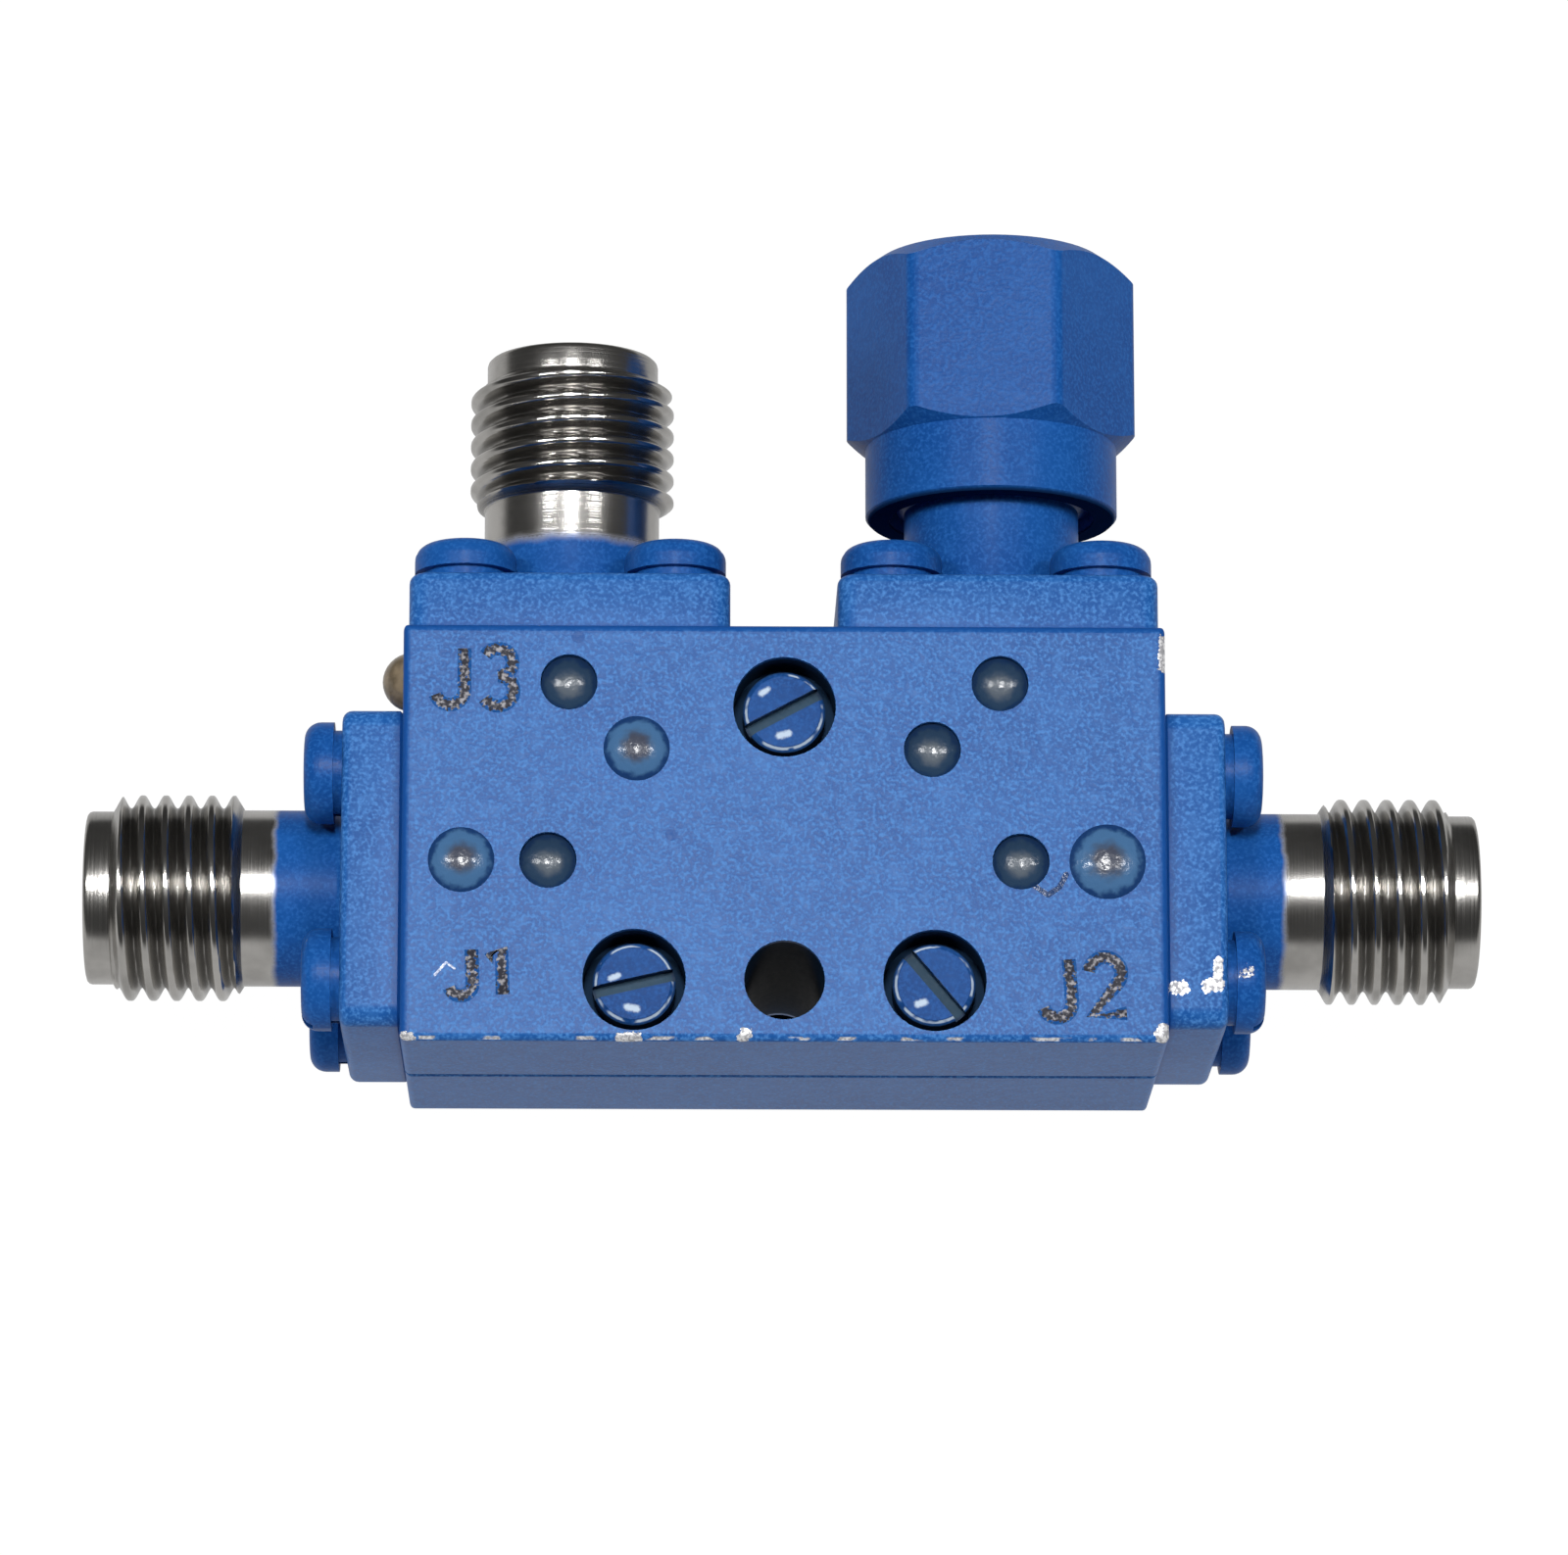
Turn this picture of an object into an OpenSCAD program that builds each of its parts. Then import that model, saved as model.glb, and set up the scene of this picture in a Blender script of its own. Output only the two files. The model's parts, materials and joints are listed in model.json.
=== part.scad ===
// Directional coupler: a stripline housing in two halves, with four flange-mounted coaxial jacks.
// The isolated jack is closed by a hex-nut termination.
// The part lies on its back face. The origin is on the mounting hole's axis at that face,
// with +X towards the output jack, +Y towards the coupled jack and +Z out of the front face.

/* [Housing] */
// Width between the faces that carry the two in-line jacks
body_w = 23; // [21.5:0.1:28]
// Height from the lower edge to the face that carries the coupled jack
body_h = 12.8; // [12.4:0.1:15]
// Thickness of the two halves together
body_t = 11.2; // [10.8:0.1:14]
// Radius of the rounded edges of each half
edge_r = 0.22; // [0.1:0.02:0.28]
// Wall between the line cavity and the faces that carry the jacks
cavity_wall = 0.9; // [0.7:0.05:1.1]
// Mounting hole diameter
mount_d = 2.42; // [2:0.02:2.7]
// Mounting hole axis above the lower edge
mount_edge = 1.85; // [1.8:0.05:2]

/* [Housing screws] */
// Offset of the two lower screws from the mounting hole
low_screw_x = 4.5; // [4:0.1:5]
// Upper screw axis below the upper edge
top_screw_inset = 2.55; // [2.3:0.05:2.8]
// Counterbore diameter
counterbore_d = 3.1; // [2.9:0.05:3.2]
// Screw head diameter
cheese_d = 2.5; // [2.2:0.05:2.7]
// Screw head height
cheese_h = 1.2; // [0.9:0.05:1.5]
// Depth of the head's top below the front face
cheese_sunk = 0.6; // [0.3:0.05:1]
// Screw thread diameter
house_screw_d = 1.75; // [1.5:0.05:1.9]
// Radial clearance of the screw in the front half
screw_clear = 0.12; // [0.05:0.01:0.2]
// Thread length held by the rear half
house_grip = 3.8; // [3:0.1:4.5]

/* [Stripline] */
// Width of the copper strips
line_w = 1.25; // [1:0.05:1.5]
// Gap between the two strips where they couple
line_gap = 0.3; // [0.2:0.02:0.5]
// Thickness of the copper strips
line_t = 0.1; // [0.05:0.01:0.14]
// Thickness of each dielectric board
board_t = 0.8; // [0.7:0.05:0.95]
// Clearance between a board's edge and the cavity
board_gap = 0.05; // [0.03:0.01:0.1]
// Cavity width kept free on each side of a strip
line_margin = 0.8; // [0.6:0.05:0.95]

/* [Trimming holes] */
// Diameter of the holes over the strips
trim_d = 1.72; // [1.5:0.02:1.8]
// Distance from a hole's rim to the cavity's end wall
trim_margin = 0.04; // [0.02:0.01:0.2]
// Pitch of the two holes on each end of the main strip
trim_pitch = 2.6; // [2.3:0.05:2.9]
// Step of the second hole on the coupled strip, along X and along Y
trim_step = 2.05; // [1.9:0.05:2.3]
// Length of the set screws
trim_screw_l = 1.6; // [1.2:0.1:2]
// Diameter of a resin dome on the front face
dome_d = 2; // [1.9:0.05:2.2]
// Diameter of the resin dome that has run, by the output jack
run_dome_d = 2.3; // [2.1:0.05:2.5]
// Height of a resin dome
dome_h = 0.34; // [0.2:0.02:0.5]
// Depth of the sunk resin's rim below the front face
fill_sunk = 0.22; // [0.1:0.02:0.5]
// Dip of the sunk resin's middle below its rim
fill_dip = 0.3; // [0.1:0.02:0.4]
// Diameter of the blind hole in the left face
side_hole_d = 1.3; // [1:0.05:1.5]
// Depth of the blind hole in the left face
side_hole_l = 0.7; // [0.5:0.05:0.8]
// Diameter of the resin bead over that hole
side_bead_d = 1.75; // [1.6:0.05:2]
// Height of the resin bead over that hole
side_bead_h = 0.68; // [0.4:0.02:0.8]
// Clearance between that bead and the input jack's flange
side_bead_gap = 0.2; // [0.1:0.05:0.3]
// Side hole axis behind the front face
side_hole_back = 2; // [1.6:0.05:2.4]

/* [Jacks] */
// Axis of the in-line jacks below the middle of the case
port_drop = 0.9; // [0.8:0.05:1.15]
// Axis of each upper jack from the side face next to it
port_inset = 5; // [4.9:0.05:5.3]
// Side of the square flange
flange_a = 9.75; // [9.4:0.05:10]
// Thickness of the flange
flange_t = 1.85; // [1.5:0.05:2.2]
// Radius of the flange's corners
flange_r = 0.6; // [0.3:0.05:0.9]
// Major diameter of the barrel's thread
thread_d = 6.3; // [6.1:0.05:6.4]
// Length of the barrel's thread
thread_l = 4; // [3.5:0.1:5]
// Length of the cone at each end of the thread
thread_cone = 0.28; // [0.2:0.02:0.4]
// Pitch of the thread's ridges
thread_pitch = 0.706; // [0.65:0.002:0.76]
// Depth of the grooves between the ridges
thread_depth = 0.4; // [0.3:0.02:0.42]
// Width of a ridge's crest
crest_w = 0.09; // [0.06:0.01:0.14]
// Diameter of the plain band at the barrel's tip
lead_d = 5.3; // [5.1:0.05:5.5]
// Length of the plain band at the barrel's tip
lead_l = 0.8; // [0.5:0.05:1.2]
// Diameter of the plain neck between flange and thread
neck_d = 5.4; // [5.2:0.05:5.6]
// Length of the plain neck
neck_l = 3.1; // [2.9:0.05:3.6]
// Diameter of the barrel's mouth
mouth_d = 4.6; // [4.5:0.02:4.7]
// Depth of the barrel's mouth
mouth_l = 1.9; // [1.7:0.05:2.1]
// Diameter of the dielectric in the barrel
bead_d = 4.1; // [4:0.02:4.2]
// Diameter of the dielectric's nose in the housing wall
nose_d = 2.1; // [1.9:0.05:2.3]
// Diameter of the centre contact
contact_d = 1.27; // [1.2:0.01:1.35]
// Diameter of the contact's socket
socket_d = 0.94; // [0.92:0.01:1]
// Depth of the contact's socket
socket_l = 2.35; // [2.1:0.05:2.6]
// Width of the slots between the contact's spring fingers
finger_slot = 0.16; // [0.1:0.01:0.2]
// Length of the contact's spring fingers
finger_l = 1.7; // [1.4:0.05:2]
// Depth of the contact's face below the dielectric
contact_sunk = 0.1; // [0.05:0.01:0.2]
// Diameter of the contact's tail
tail_d = 0.64; // [0.6:0.01:0.8]
// Length of the tail's flat tab on the strip
tab_l = 1; // [0.8:0.05:1.2]
// Thickness of the tail's flat tab
tab_t = 0.15; // [0.1:0.01:0.2]

/* [Flange screws] */
// Pitch of the four screws, both ways
flange_pitch = 6.4; // [6.2:0.05:6.5]
// Screw thread diameter
flange_screw_d = 1.5; // [1.4:0.02:1.6]
// Thread length in the housing
flange_grip = 2.6; // [2:0.1:2.8]
// Pan head diameter
pan_d = 3.1; // [2.8:0.05:3.2]
// Pan head height
pan_h = 0.9; // [0.8:0.05:1.1]
// Radius of the pan head's rounded edge
pan_r = 0.5; // [0.3:0.05:0.6]
// Lock washer outer diameter
washer_d = 2.6; // [2.4:0.05:2.8]
// Lock washer thickness
washer_t = 0.27; // [0.21:0.02:0.45]
// Width of the split in a lock washer
washer_split = 0.25; // [0.15:0.05:0.4]

/* [Termination] */
// Hex nut size across its flats
nut_af = 7.9; // [7.7:0.05:8.2]
// Length of the hex
hex_l = 5.95; // [5.4:0.05:6.5]
// Radius of the edges between the hex's flats
hex_r = 0.5; // [0.2:0.05:0.7]
// Angle of the chamfers on the hex, from its end planes
hex_chamfer = 36; // [25:1:40]
// Turn of the hex about its axis, from a flat to the front
hex_turn = -5; // [-30:1:30]
// Diameter of the nut's round collar
collar_d = 7.8; // [7.6:0.05:7.85]
// Length of the nut's round collar
collar_l = 2.25; // [2:0.05:2.4]
// Length of collar that reaches past the thread towards the flange
collar_skirt = 0.2; // [0.1:0.05:0.4]
// Thickness of the gasket on the barrel's tip
gasket_t = 0.4; // [0.3:0.05:0.6]
// Thickness of the load body's disc
disc_t = 0.8; // [0.6:0.05:1]
// Diameter of the load body's rear end
boss_d = 5.2; // [4.8:0.05:5.6]
// Depth of the load body's rear end below the hex
boss_sunk = 0.1; // [0.05:0.01:0.3]
// End wall behind the resistor
load_wall = 0.45; // [0.3:0.05:0.7]
// Diameter of the resistor
resistor_d = 1.6; // [1.4:0.05:1.8]
// Length of the load's centre pin in the jack's contact
pin_reach = 1.8; // [1.5:0.05:2]

/* [Hidden] */
$fn = 64;

// Radial clearance of every plain fit, and of a plain thread in its hole
fit_gap = 0.02;
// How far a cut runs past the face that it opens
cut_over = 0.5;

paint_blue = [0.22, 0.42, 0.70];
steel = [0.72, 0.72, 0.70];
gold = [0.85, 0.68, 0.30];
copper = [0.78, 0.48, 0.30];
ptfe = [0.94, 0.94, 0.92];
resin = [0.70, 0.72, 0.68, 0.7];

// Levels of the housing
low_y = -mount_edge;
top_y = low_y + body_h;
mid_y = low_y + body_h / 2;
seam_z = body_t / 2;
front_z = body_t;

// Axes of the jacks
port_y = mid_y - port_drop;
port_x = body_w / 2 - port_inset;

// Plan of the line cavity
cavity_x = body_w / 2 - cavity_wall;
cavity_top = top_y - cavity_wall;
cavity_half = line_t / 2 + board_t;
coupled_y = port_y + line_w + line_gap;
bend_y = cavity_top - trim_d / 2 - trim_margin;
channel_low = port_y - line_w / 2 - line_margin;
channel_top = coupled_y + line_w / 2 + line_margin;
coupled_x = port_x - (bend_y - coupled_y);
arm_in = port_x - (bend_y - channel_top) - line_w * sqrt(2) / 2 - line_margin;
arm_out = port_x + line_w / 2 + line_margin;

// Trimming holes: the main strip's pairs, then the coupled strip's pairs, left side first
trim_outer_x = cavity_x - trim_d / 2 - trim_margin;
trim_main = [for (s = [-1, 1]) for (d = [0, trim_pitch]) [s * (trim_outer_x - d), port_y]];
trim_coupled = [for (s = [-1, 1]) for (d = [0, trim_step]) [s * (port_x - d), bend_y - d]];
trim_places = concat(trim_main, trim_coupled);
domed_holes = [0, 5];
run_hole = 2;
sunk_holes = [1, 3, 4, 6, 7];
trim_floor = seam_z + cavity_half;
trim_screw_top = trim_floor + trim_screw_l;

// Housing screws: place and slot angle
house_screws = [
    [[0, top_y - top_screw_inset], 28],
    [[-low_screw_x, 0], 13],
    [[low_screw_x, 0], -50]
];
counterbore_z = front_z - cheese_sunk - cheese_h;
house_hole_z = seam_z - house_grip - fit_gap;
cheese_slot_w = 0.38;
cheese_slot_l = 0.45;
cheese_bevel = 0.16;

// Bead of resin on the left face, above the input jack's flange
side_bead_y = port_y + flange_a / 2 + side_bead_gap + side_bead_d / 2;

// Ports: place of the flange's seat on the housing and direction of the barrel
input_port = [[-body_w / 2, port_y], -90];
output_port = [[body_w / 2, port_y], 90];
coupled_port = [[-port_x, top_y], 180];
isolated_port = [[port_x, top_y], 180];
ports = [input_port, output_port, coupled_port, isolated_port];

// Levels along a port's axis, from the flange's seat outwards
thread_z = flange_t + neck_l;
lead_z = thread_z + thread_l;
barrel_l = lead_z + lead_l;
mouth_z = barrel_l - mouth_l;
contact_face_z = mouth_z - contact_sunk;
tail_shoulder_z = 0.6;
tip_bevel = 0.12;
pan_slot_w = 0.35;
pan_slot_l = 0.35;
pan_slots = [20, -12, -35, 8];

// Grooves of the thread from its tip inwards, which leave a plain land of its full diameter at its inner end
groove_count = floor((thread_l - 2 * thread_cone - crest_w) / thread_pitch);
groove_z = lead_z - thread_cone - (thread_pitch + crest_w) / 2;

// Levels of the termination along the isolated port's axis
nut_foot_z = thread_z - collar_skirt;
hex_z = nut_foot_z + collar_l;
nut_top_z = hex_z + hex_l;
disc_z = barrel_l + gasket_t;
boss_z = disc_z + disc_t;
boss_top_z = nut_top_z - boss_sunk;
resistor_top_z = boss_top_z - load_wall;
resistor_z = disc_z + 0.25;
nut_bore_d = thread_d + 2 * fit_gap;
disc_d = thread_d - 0.1;
pin_d = socket_d - 2 * fit_gap;
hex_d = nut_af / cos(30);
sleeve_d = mouth_d - 2 * fit_gap;
load_bore_d = bead_d + 2 * fit_gap;
resistor_bore_d = resistor_d + 2 * fit_gap;

// Puts a shape that points along +Z on a port, with its +Y side to the front of the part
module at_port(port) {
    translate([port[0].x, port[0].y, seam_z]) rotate([90, 0, port[1]]) children();
}

module at_flange_screws() {
    for (x = [-1, 1], y = [-1, 1])
        translate([x * flange_pitch / 2, y * flange_pitch / 2, 0]) children();
}

module rounded_rectangle(w, h, r) {
    square([w, h - 2 * r], center = true);
    square([w - 2 * r, h], center = true);
    for (x = [-1, 1], y = [-1, 1])
        translate([x * (w / 2 - r), y * (h / 2 - r)]) circle(r);
}

// Hexagon with a corner on +X, by its size across the flats
module rounded_hexagon(flats, r) {
    corner_x = (flats / 2 - r) / cos(30);
    circle(corner_x, $fn = 6);
    for (i = [0 : 2])
        rotate(30 + 60 * i) square([flats, corner_x], center = true);
    for (i = [0 : 5])
        rotate(60 * i) translate([corner_x, 0]) circle(r);
}

// Block centred on the origin, rounded along all its edges
module rounded_block(w, h, t, r) {
    intersection() {
        linear_extrude(t, center = true) rounded_rectangle(w, h, r);
        rotate([90, 0, 0]) linear_extrude(h, center = true) rounded_rectangle(w, t, r);
        rotate([90, 0, 90]) linear_extrude(w, center = true) rounded_rectangle(h, t, r);
    }
}

// Part of a ball above the plane z = 0, with the given rim diameter and height
module cap(d, h) {
    ball_r = (d * d / 4 + h * h) / (2 * h);
    intersection() {
        translate([0, 0, h - ball_r]) sphere(ball_r);
        translate([-d, -d, 0]) cube([2 * d, 2 * d, 2 * h]);
    }
}

// Outline of the line cavity, drawn in by a clearance
module cavity_plan(gap) {
    translate([-cavity_x + gap, channel_low + gap])
        square([2 * (cavity_x - gap), channel_top - channel_low - 2 * gap]);
    arm_w = arm_out - arm_in - 2 * gap;
    for (s = [-1, 1])
        translate([s * (arm_in + arm_out) / 2 - arm_w / 2, channel_low + gap])
            square([arm_w, cavity_top - channel_low - 2 * gap]);
}

module port_cuts() {
    for (port = ports)
        at_port(port) {
            translate([0, 0, -cavity_wall - fit_gap])
                cylinder(d = nose_d + 2 * fit_gap, h = cavity_wall + cut_over);
            at_flange_screws()
                translate([0, 0, -flange_grip - fit_gap])
                    cylinder(d = flange_screw_d + 2 * fit_gap, h = flange_grip + cut_over);
        }
}

module mounting_cut() {
    translate([0, 0, -cut_over]) cylinder(d = mount_d, h = body_t + 2 * cut_over);
}

module front_housing() {
    color(paint_blue)
        difference() {
            translate([0, mid_y, (seam_z + front_z) / 2])
                rounded_block(body_w, body_h, front_z - seam_z, edge_r);
            translate([0, 0, seam_z - cut_over]) linear_extrude(cavity_half + cut_over) cavity_plan(0);
            port_cuts();
            mounting_cut();
            for (s = house_screws)
                translate([s[0].x, s[0].y, 0]) {
                    translate([0, 0, counterbore_z]) cylinder(d = counterbore_d, h = body_t);
                    cylinder(d = house_screw_d + 2 * screw_clear, h = body_t);
                }
            for (p = trim_places)
                translate([p.x, p.y, trim_floor - cut_over]) cylinder(d = trim_d, h = body_t);
            side_hole_place()
                translate([0, 0, -side_hole_l]) cylinder(d = side_hole_d, h = side_hole_l + cut_over);
        }
}

module rear_housing() {
    color(paint_blue)
        difference() {
            translate([0, mid_y, seam_z / 2]) rounded_block(body_w, body_h, seam_z, edge_r);
            translate([0, 0, seam_z - cavity_half]) linear_extrude(cavity_half + cut_over) cavity_plan(0);
            port_cuts();
            mounting_cut();
            for (s = house_screws)
                translate([s[0].x, s[0].y, house_hole_z])
                    cylinder(d = house_screw_d + 2 * fit_gap, h = body_t);
        }
}

module housing_screws() {
    shank_z = seam_z - house_grip;
    head_top_z = counterbore_z + cheese_h;
    color(paint_blue)
        for (s = house_screws)
            translate([s[0].x, s[0].y, 0]) rotate(s[1])
                difference() {
                    rotate_extrude()
                        polygon([
                            [0, shank_z], [house_screw_d / 2, shank_z], [house_screw_d / 2, counterbore_z],
                            [cheese_d / 2, counterbore_z], [cheese_d / 2, head_top_z - cheese_bevel],
                            [cheese_d / 2 - cheese_bevel, head_top_z], [0, head_top_z]
                        ]);
                    translate([-cheese_d, -cheese_slot_w / 2, head_top_z - cheese_slot_l])
                        cube([2 * cheese_d, cheese_slot_w, cheese_h]);
                }
}

// The upper board is relieved over each contact's tab
module upper_board() {
    color(ptfe)
        difference() {
            translate([0, 0, seam_z + line_t / 2]) linear_extrude(board_t) cavity_plan(board_gap);
            for (port = ports)
                at_port(port)
                    translate([-tail_d / 2 - board_gap, 0, -cavity_wall - tab_l - board_gap])
                        cube([tail_d + 2 * board_gap, line_t / 2 + tab_t + fit_gap, tab_l + 2 * cut_over]);
        }
}

module lower_board() {
    color(ptfe)
        translate([0, 0, seam_z - line_t / 2 - board_t]) linear_extrude(board_t) cavity_plan(board_gap);
}

module main_line() {
    line_x = cavity_x - board_gap;
    color(copper)
        translate([-line_x, port_y - line_w / 2, seam_z - line_t / 2]) cube([2 * line_x, line_w, line_t]);
}

// The coupled strip runs down from its jack, inwards at 45 degrees, level, and up again on the other side.
// A 45 degree bend moves each corner of the strip's edges by the mitre.
module coupled_line() {
    mitre = line_w / 2 * tan(22.5);
    end_y = cavity_top - board_gap;
    right = [
        [coupled_x + mitre, coupled_y - line_w / 2], [port_x + line_w / 2, bend_y - mitre],
        [port_x + line_w / 2, end_y], [port_x - line_w / 2, end_y],
        [port_x - line_w / 2, bend_y + mitre], [coupled_x - mitre, coupled_y + line_w / 2]
    ];
    left = [for (i = [len(right) - 1 : -1 : 0]) [-right[i].x, right[i].y]];
    color(copper)
        translate([0, 0, seam_z - line_t / 2]) linear_extrude(line_t) polygon(concat(right, left));
}

module trim_screws() {
    slot_w = 0.3;
    slot_l = 0.4;
    screw_d = trim_d - 2 * fit_gap;
    color(steel)
        for (i = [0 : len(trim_places) - 1])
            translate([trim_places[i].x, trim_places[i].y, trim_floor]) rotate(i * 40)
                difference() {
                    cylinder(d = screw_d, h = trim_screw_l);
                    translate([-trim_d, -slot_w / 2, trim_screw_l - slot_l])
                        cube([2 * trim_d, slot_w, trim_screw_l]);
                }
}

module resin_dome(place, d) {
    translate([place.x, place.y, 0]) {
        translate([0, 0, trim_screw_top]) cylinder(d = trim_d - 2 * fit_gap, h = front_z - trim_screw_top);
        translate([0, 0, front_z]) cap(d, dome_h);
    }
}

module resin_domes() {
    color(resin) {
        for (i = domed_holes)
            resin_dome(trim_places[i], dome_d);
        resin_dome(trim_places[run_hole], run_dome_d);
    }
}

module resin_fills() {
    fill_d = trim_d - 2 * fit_gap;
    fill_top = front_z - fill_sunk;
    dip_r = (fill_d * fill_d / 4 + fill_dip * fill_dip) / (2 * fill_dip);
    color(resin)
        for (i = sunk_holes)
            translate([trim_places[i].x, trim_places[i].y, 0])
                difference() {
                    translate([0, 0, trim_screw_top]) cylinder(d = fill_d, h = fill_top - trim_screw_top);
                    translate([0, 0, fill_top + dip_r - fill_dip]) sphere(dip_r);
                }
}

module side_hole_place() {
    translate([-body_w / 2, side_bead_y, front_z - side_hole_back]) rotate([0, -90, 0]) children();
}

module side_resin() {
    color(resin)
        side_hole_place() {
            translate([0, 0, -side_hole_l]) cylinder(d = side_hole_d - 2 * fit_gap, h = side_hole_l);
            cap(side_bead_d, side_bead_h);
        }
}

// Profile of one groove between two ridges, with flanks at 60 degrees to each other
module groove() {
    crest_half = (thread_pitch - crest_w) / 2;
    root_half = crest_half - thread_depth * tan(30);
    polygon([
        [thread_d / 2 - thread_depth, -root_half], [thread_d / 2, -crest_half],
        [thread_d / 2 + cut_over, -crest_half], [thread_d / 2 + cut_over, crest_half],
        [thread_d / 2, crest_half], [thread_d / 2 - thread_depth, root_half]
    ]);
}

// Flange and barrel, turned and milled from one bar
module jack() {
    color(steel)
        difference() {
            union() {
                linear_extrude(flange_t) rounded_rectangle(flange_a, flange_a, flange_r);
                rotate_extrude()
                    difference() {
                        polygon([
                            [0, 0], [neck_d / 2, 0], [neck_d / 2, thread_z],
                            [thread_d / 2, thread_z + thread_cone], [thread_d / 2, lead_z - thread_cone],
                            [lead_d / 2, lead_z], [lead_d / 2, barrel_l - tip_bevel],
                            [lead_d / 2 - tip_bevel, barrel_l], [0, barrel_l]
                        ]);
                        for (i = [0 : groove_count - 1])
                            translate([0, groove_z - i * thread_pitch]) groove();
                    }
            }
            translate([0, 0, -cut_over]) cylinder(d = bead_d + 2 * fit_gap, h = barrel_l + 2 * cut_over);
            translate([0, 0, mouth_z]) cylinder(d = mouth_d, h = mouth_l + cut_over);
            at_flange_screws()
                translate([0, 0, -cut_over])
                    cylinder(d = flange_screw_d + 2 * screw_clear, h = flange_t + 2 * cut_over);
        }
}

module bead() {
    contact_hole_r = contact_d / 2 + fit_gap;
    tail_hole_r = tail_d / 2 + fit_gap;
    color(ptfe)
        rotate_extrude()
            polygon([
                [tail_hole_r, -cavity_wall], [nose_d / 2, -cavity_wall], [nose_d / 2, 0], [bead_d / 2, 0],
                [bead_d / 2, mouth_z], [contact_hole_r, mouth_z],
                [contact_hole_r, tail_shoulder_z], [tail_hole_r, tail_shoulder_z]
            ]);
}

// Socket with four spring fingers, and a tail milled to a flat tab that lies on the strip
module contact() {
    mouth_flare = 0.08;
    socket_z = contact_face_z - socket_l;
    tail_end_z = -cavity_wall - tab_l;
    color(gold)
        difference() {
            rotate_extrude()
                polygon([
                    [0, tail_end_z], [tail_d / 2, tail_end_z], [tail_d / 2, tail_shoulder_z],
                    [contact_d / 2, tail_shoulder_z], [contact_d / 2, contact_face_z],
                    [socket_d / 2 + mouth_flare, contact_face_z],
                    [socket_d / 2, contact_face_z - mouth_flare], [socket_d / 2, socket_z], [0, socket_z]
                ]);
            for (a = [0, 90])
                rotate(a)
                    translate([-contact_d, -finger_slot / 2, contact_face_z - finger_l])
                        cube([2 * contact_d, finger_slot, finger_l + cut_over]);
            for (y = [line_t / 2 - tail_d, line_t / 2 + tab_t])
                translate([-tail_d, y, tail_end_z - cut_over]) cube([2 * tail_d, tail_d, tab_l + cut_over]);
        }
}

// Half of the pan head's profile, with its top edge rounded
module pan_profile() {
    square([pan_d / 2 - pan_r, pan_h]);
    square([pan_d / 2, pan_h - pan_r]);
    intersection() {
        translate([pan_d / 2 - pan_r, pan_h - pan_r]) circle(pan_r);
        square([pan_d / 2, pan_h]);
    }
}

module flange_screws() {
    seat_z = flange_t + washer_t;
    spots = [for (x = [-1, 1]) for (y = [-1, 1]) [x * flange_pitch / 2, y * flange_pitch / 2]];
    color(paint_blue)
        for (i = [0 : len(spots) - 1])
            translate(spots[i]) rotate(pan_slots[i])
                difference() {
                    union() {
                        translate([0, 0, -flange_grip])
                            cylinder(d = flange_screw_d, h = seat_z + flange_grip);
                        translate([0, 0, seat_z]) rotate_extrude() pan_profile();
                    }
                    translate([-pan_d, -pan_slot_w / 2, seat_z + pan_h - pan_slot_l])
                        cube([2 * pan_d, pan_slot_w, pan_h]);
                }
}

module washers() {
    color(paint_blue)
        at_flange_screws()
            translate([0, 0, flange_t])
                difference() {
                    cylinder(d = washer_d, h = washer_t);
                    translate([0, 0, -cut_over])
                        cylinder(d = flange_screw_d + 2 * fit_gap, h = washer_t + 2 * cut_over);
                    translate([0, -washer_split / 2, -cut_over])
                        cube([washer_d, washer_split, washer_t + 2 * cut_over]);
                }
}

module input_jack() { at_port(input_port) jack(); }
module input_bead() { at_port(input_port) bead(); }
module input_contact() { at_port(input_port) contact(); }
module input_screws() { at_port(input_port) flange_screws(); }
module input_washers() { at_port(input_port) washers(); }

module output_jack() { at_port(output_port) jack(); }
module output_bead() { at_port(output_port) bead(); }
module output_contact() { at_port(output_port) contact(); }
module output_screws() { at_port(output_port) flange_screws(); }
module output_washers() { at_port(output_port) washers(); }

module coupled_jack() { at_port(coupled_port) jack(); }
module coupled_bead() { at_port(coupled_port) bead(); }
module coupled_contact() { at_port(coupled_port) contact(); }
module coupled_screws() { at_port(coupled_port) flange_screws(); }
module coupled_washers() { at_port(coupled_port) washers(); }

module isolated_jack() { at_port(isolated_port) jack(); }
module isolated_bead() { at_port(isolated_port) bead(); }
module isolated_contact() { at_port(isolated_port) contact(); }
module isolated_screws() { at_port(isolated_port) flange_screws(); }
module isolated_washers() { at_port(isolated_port) washers(); }

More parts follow.
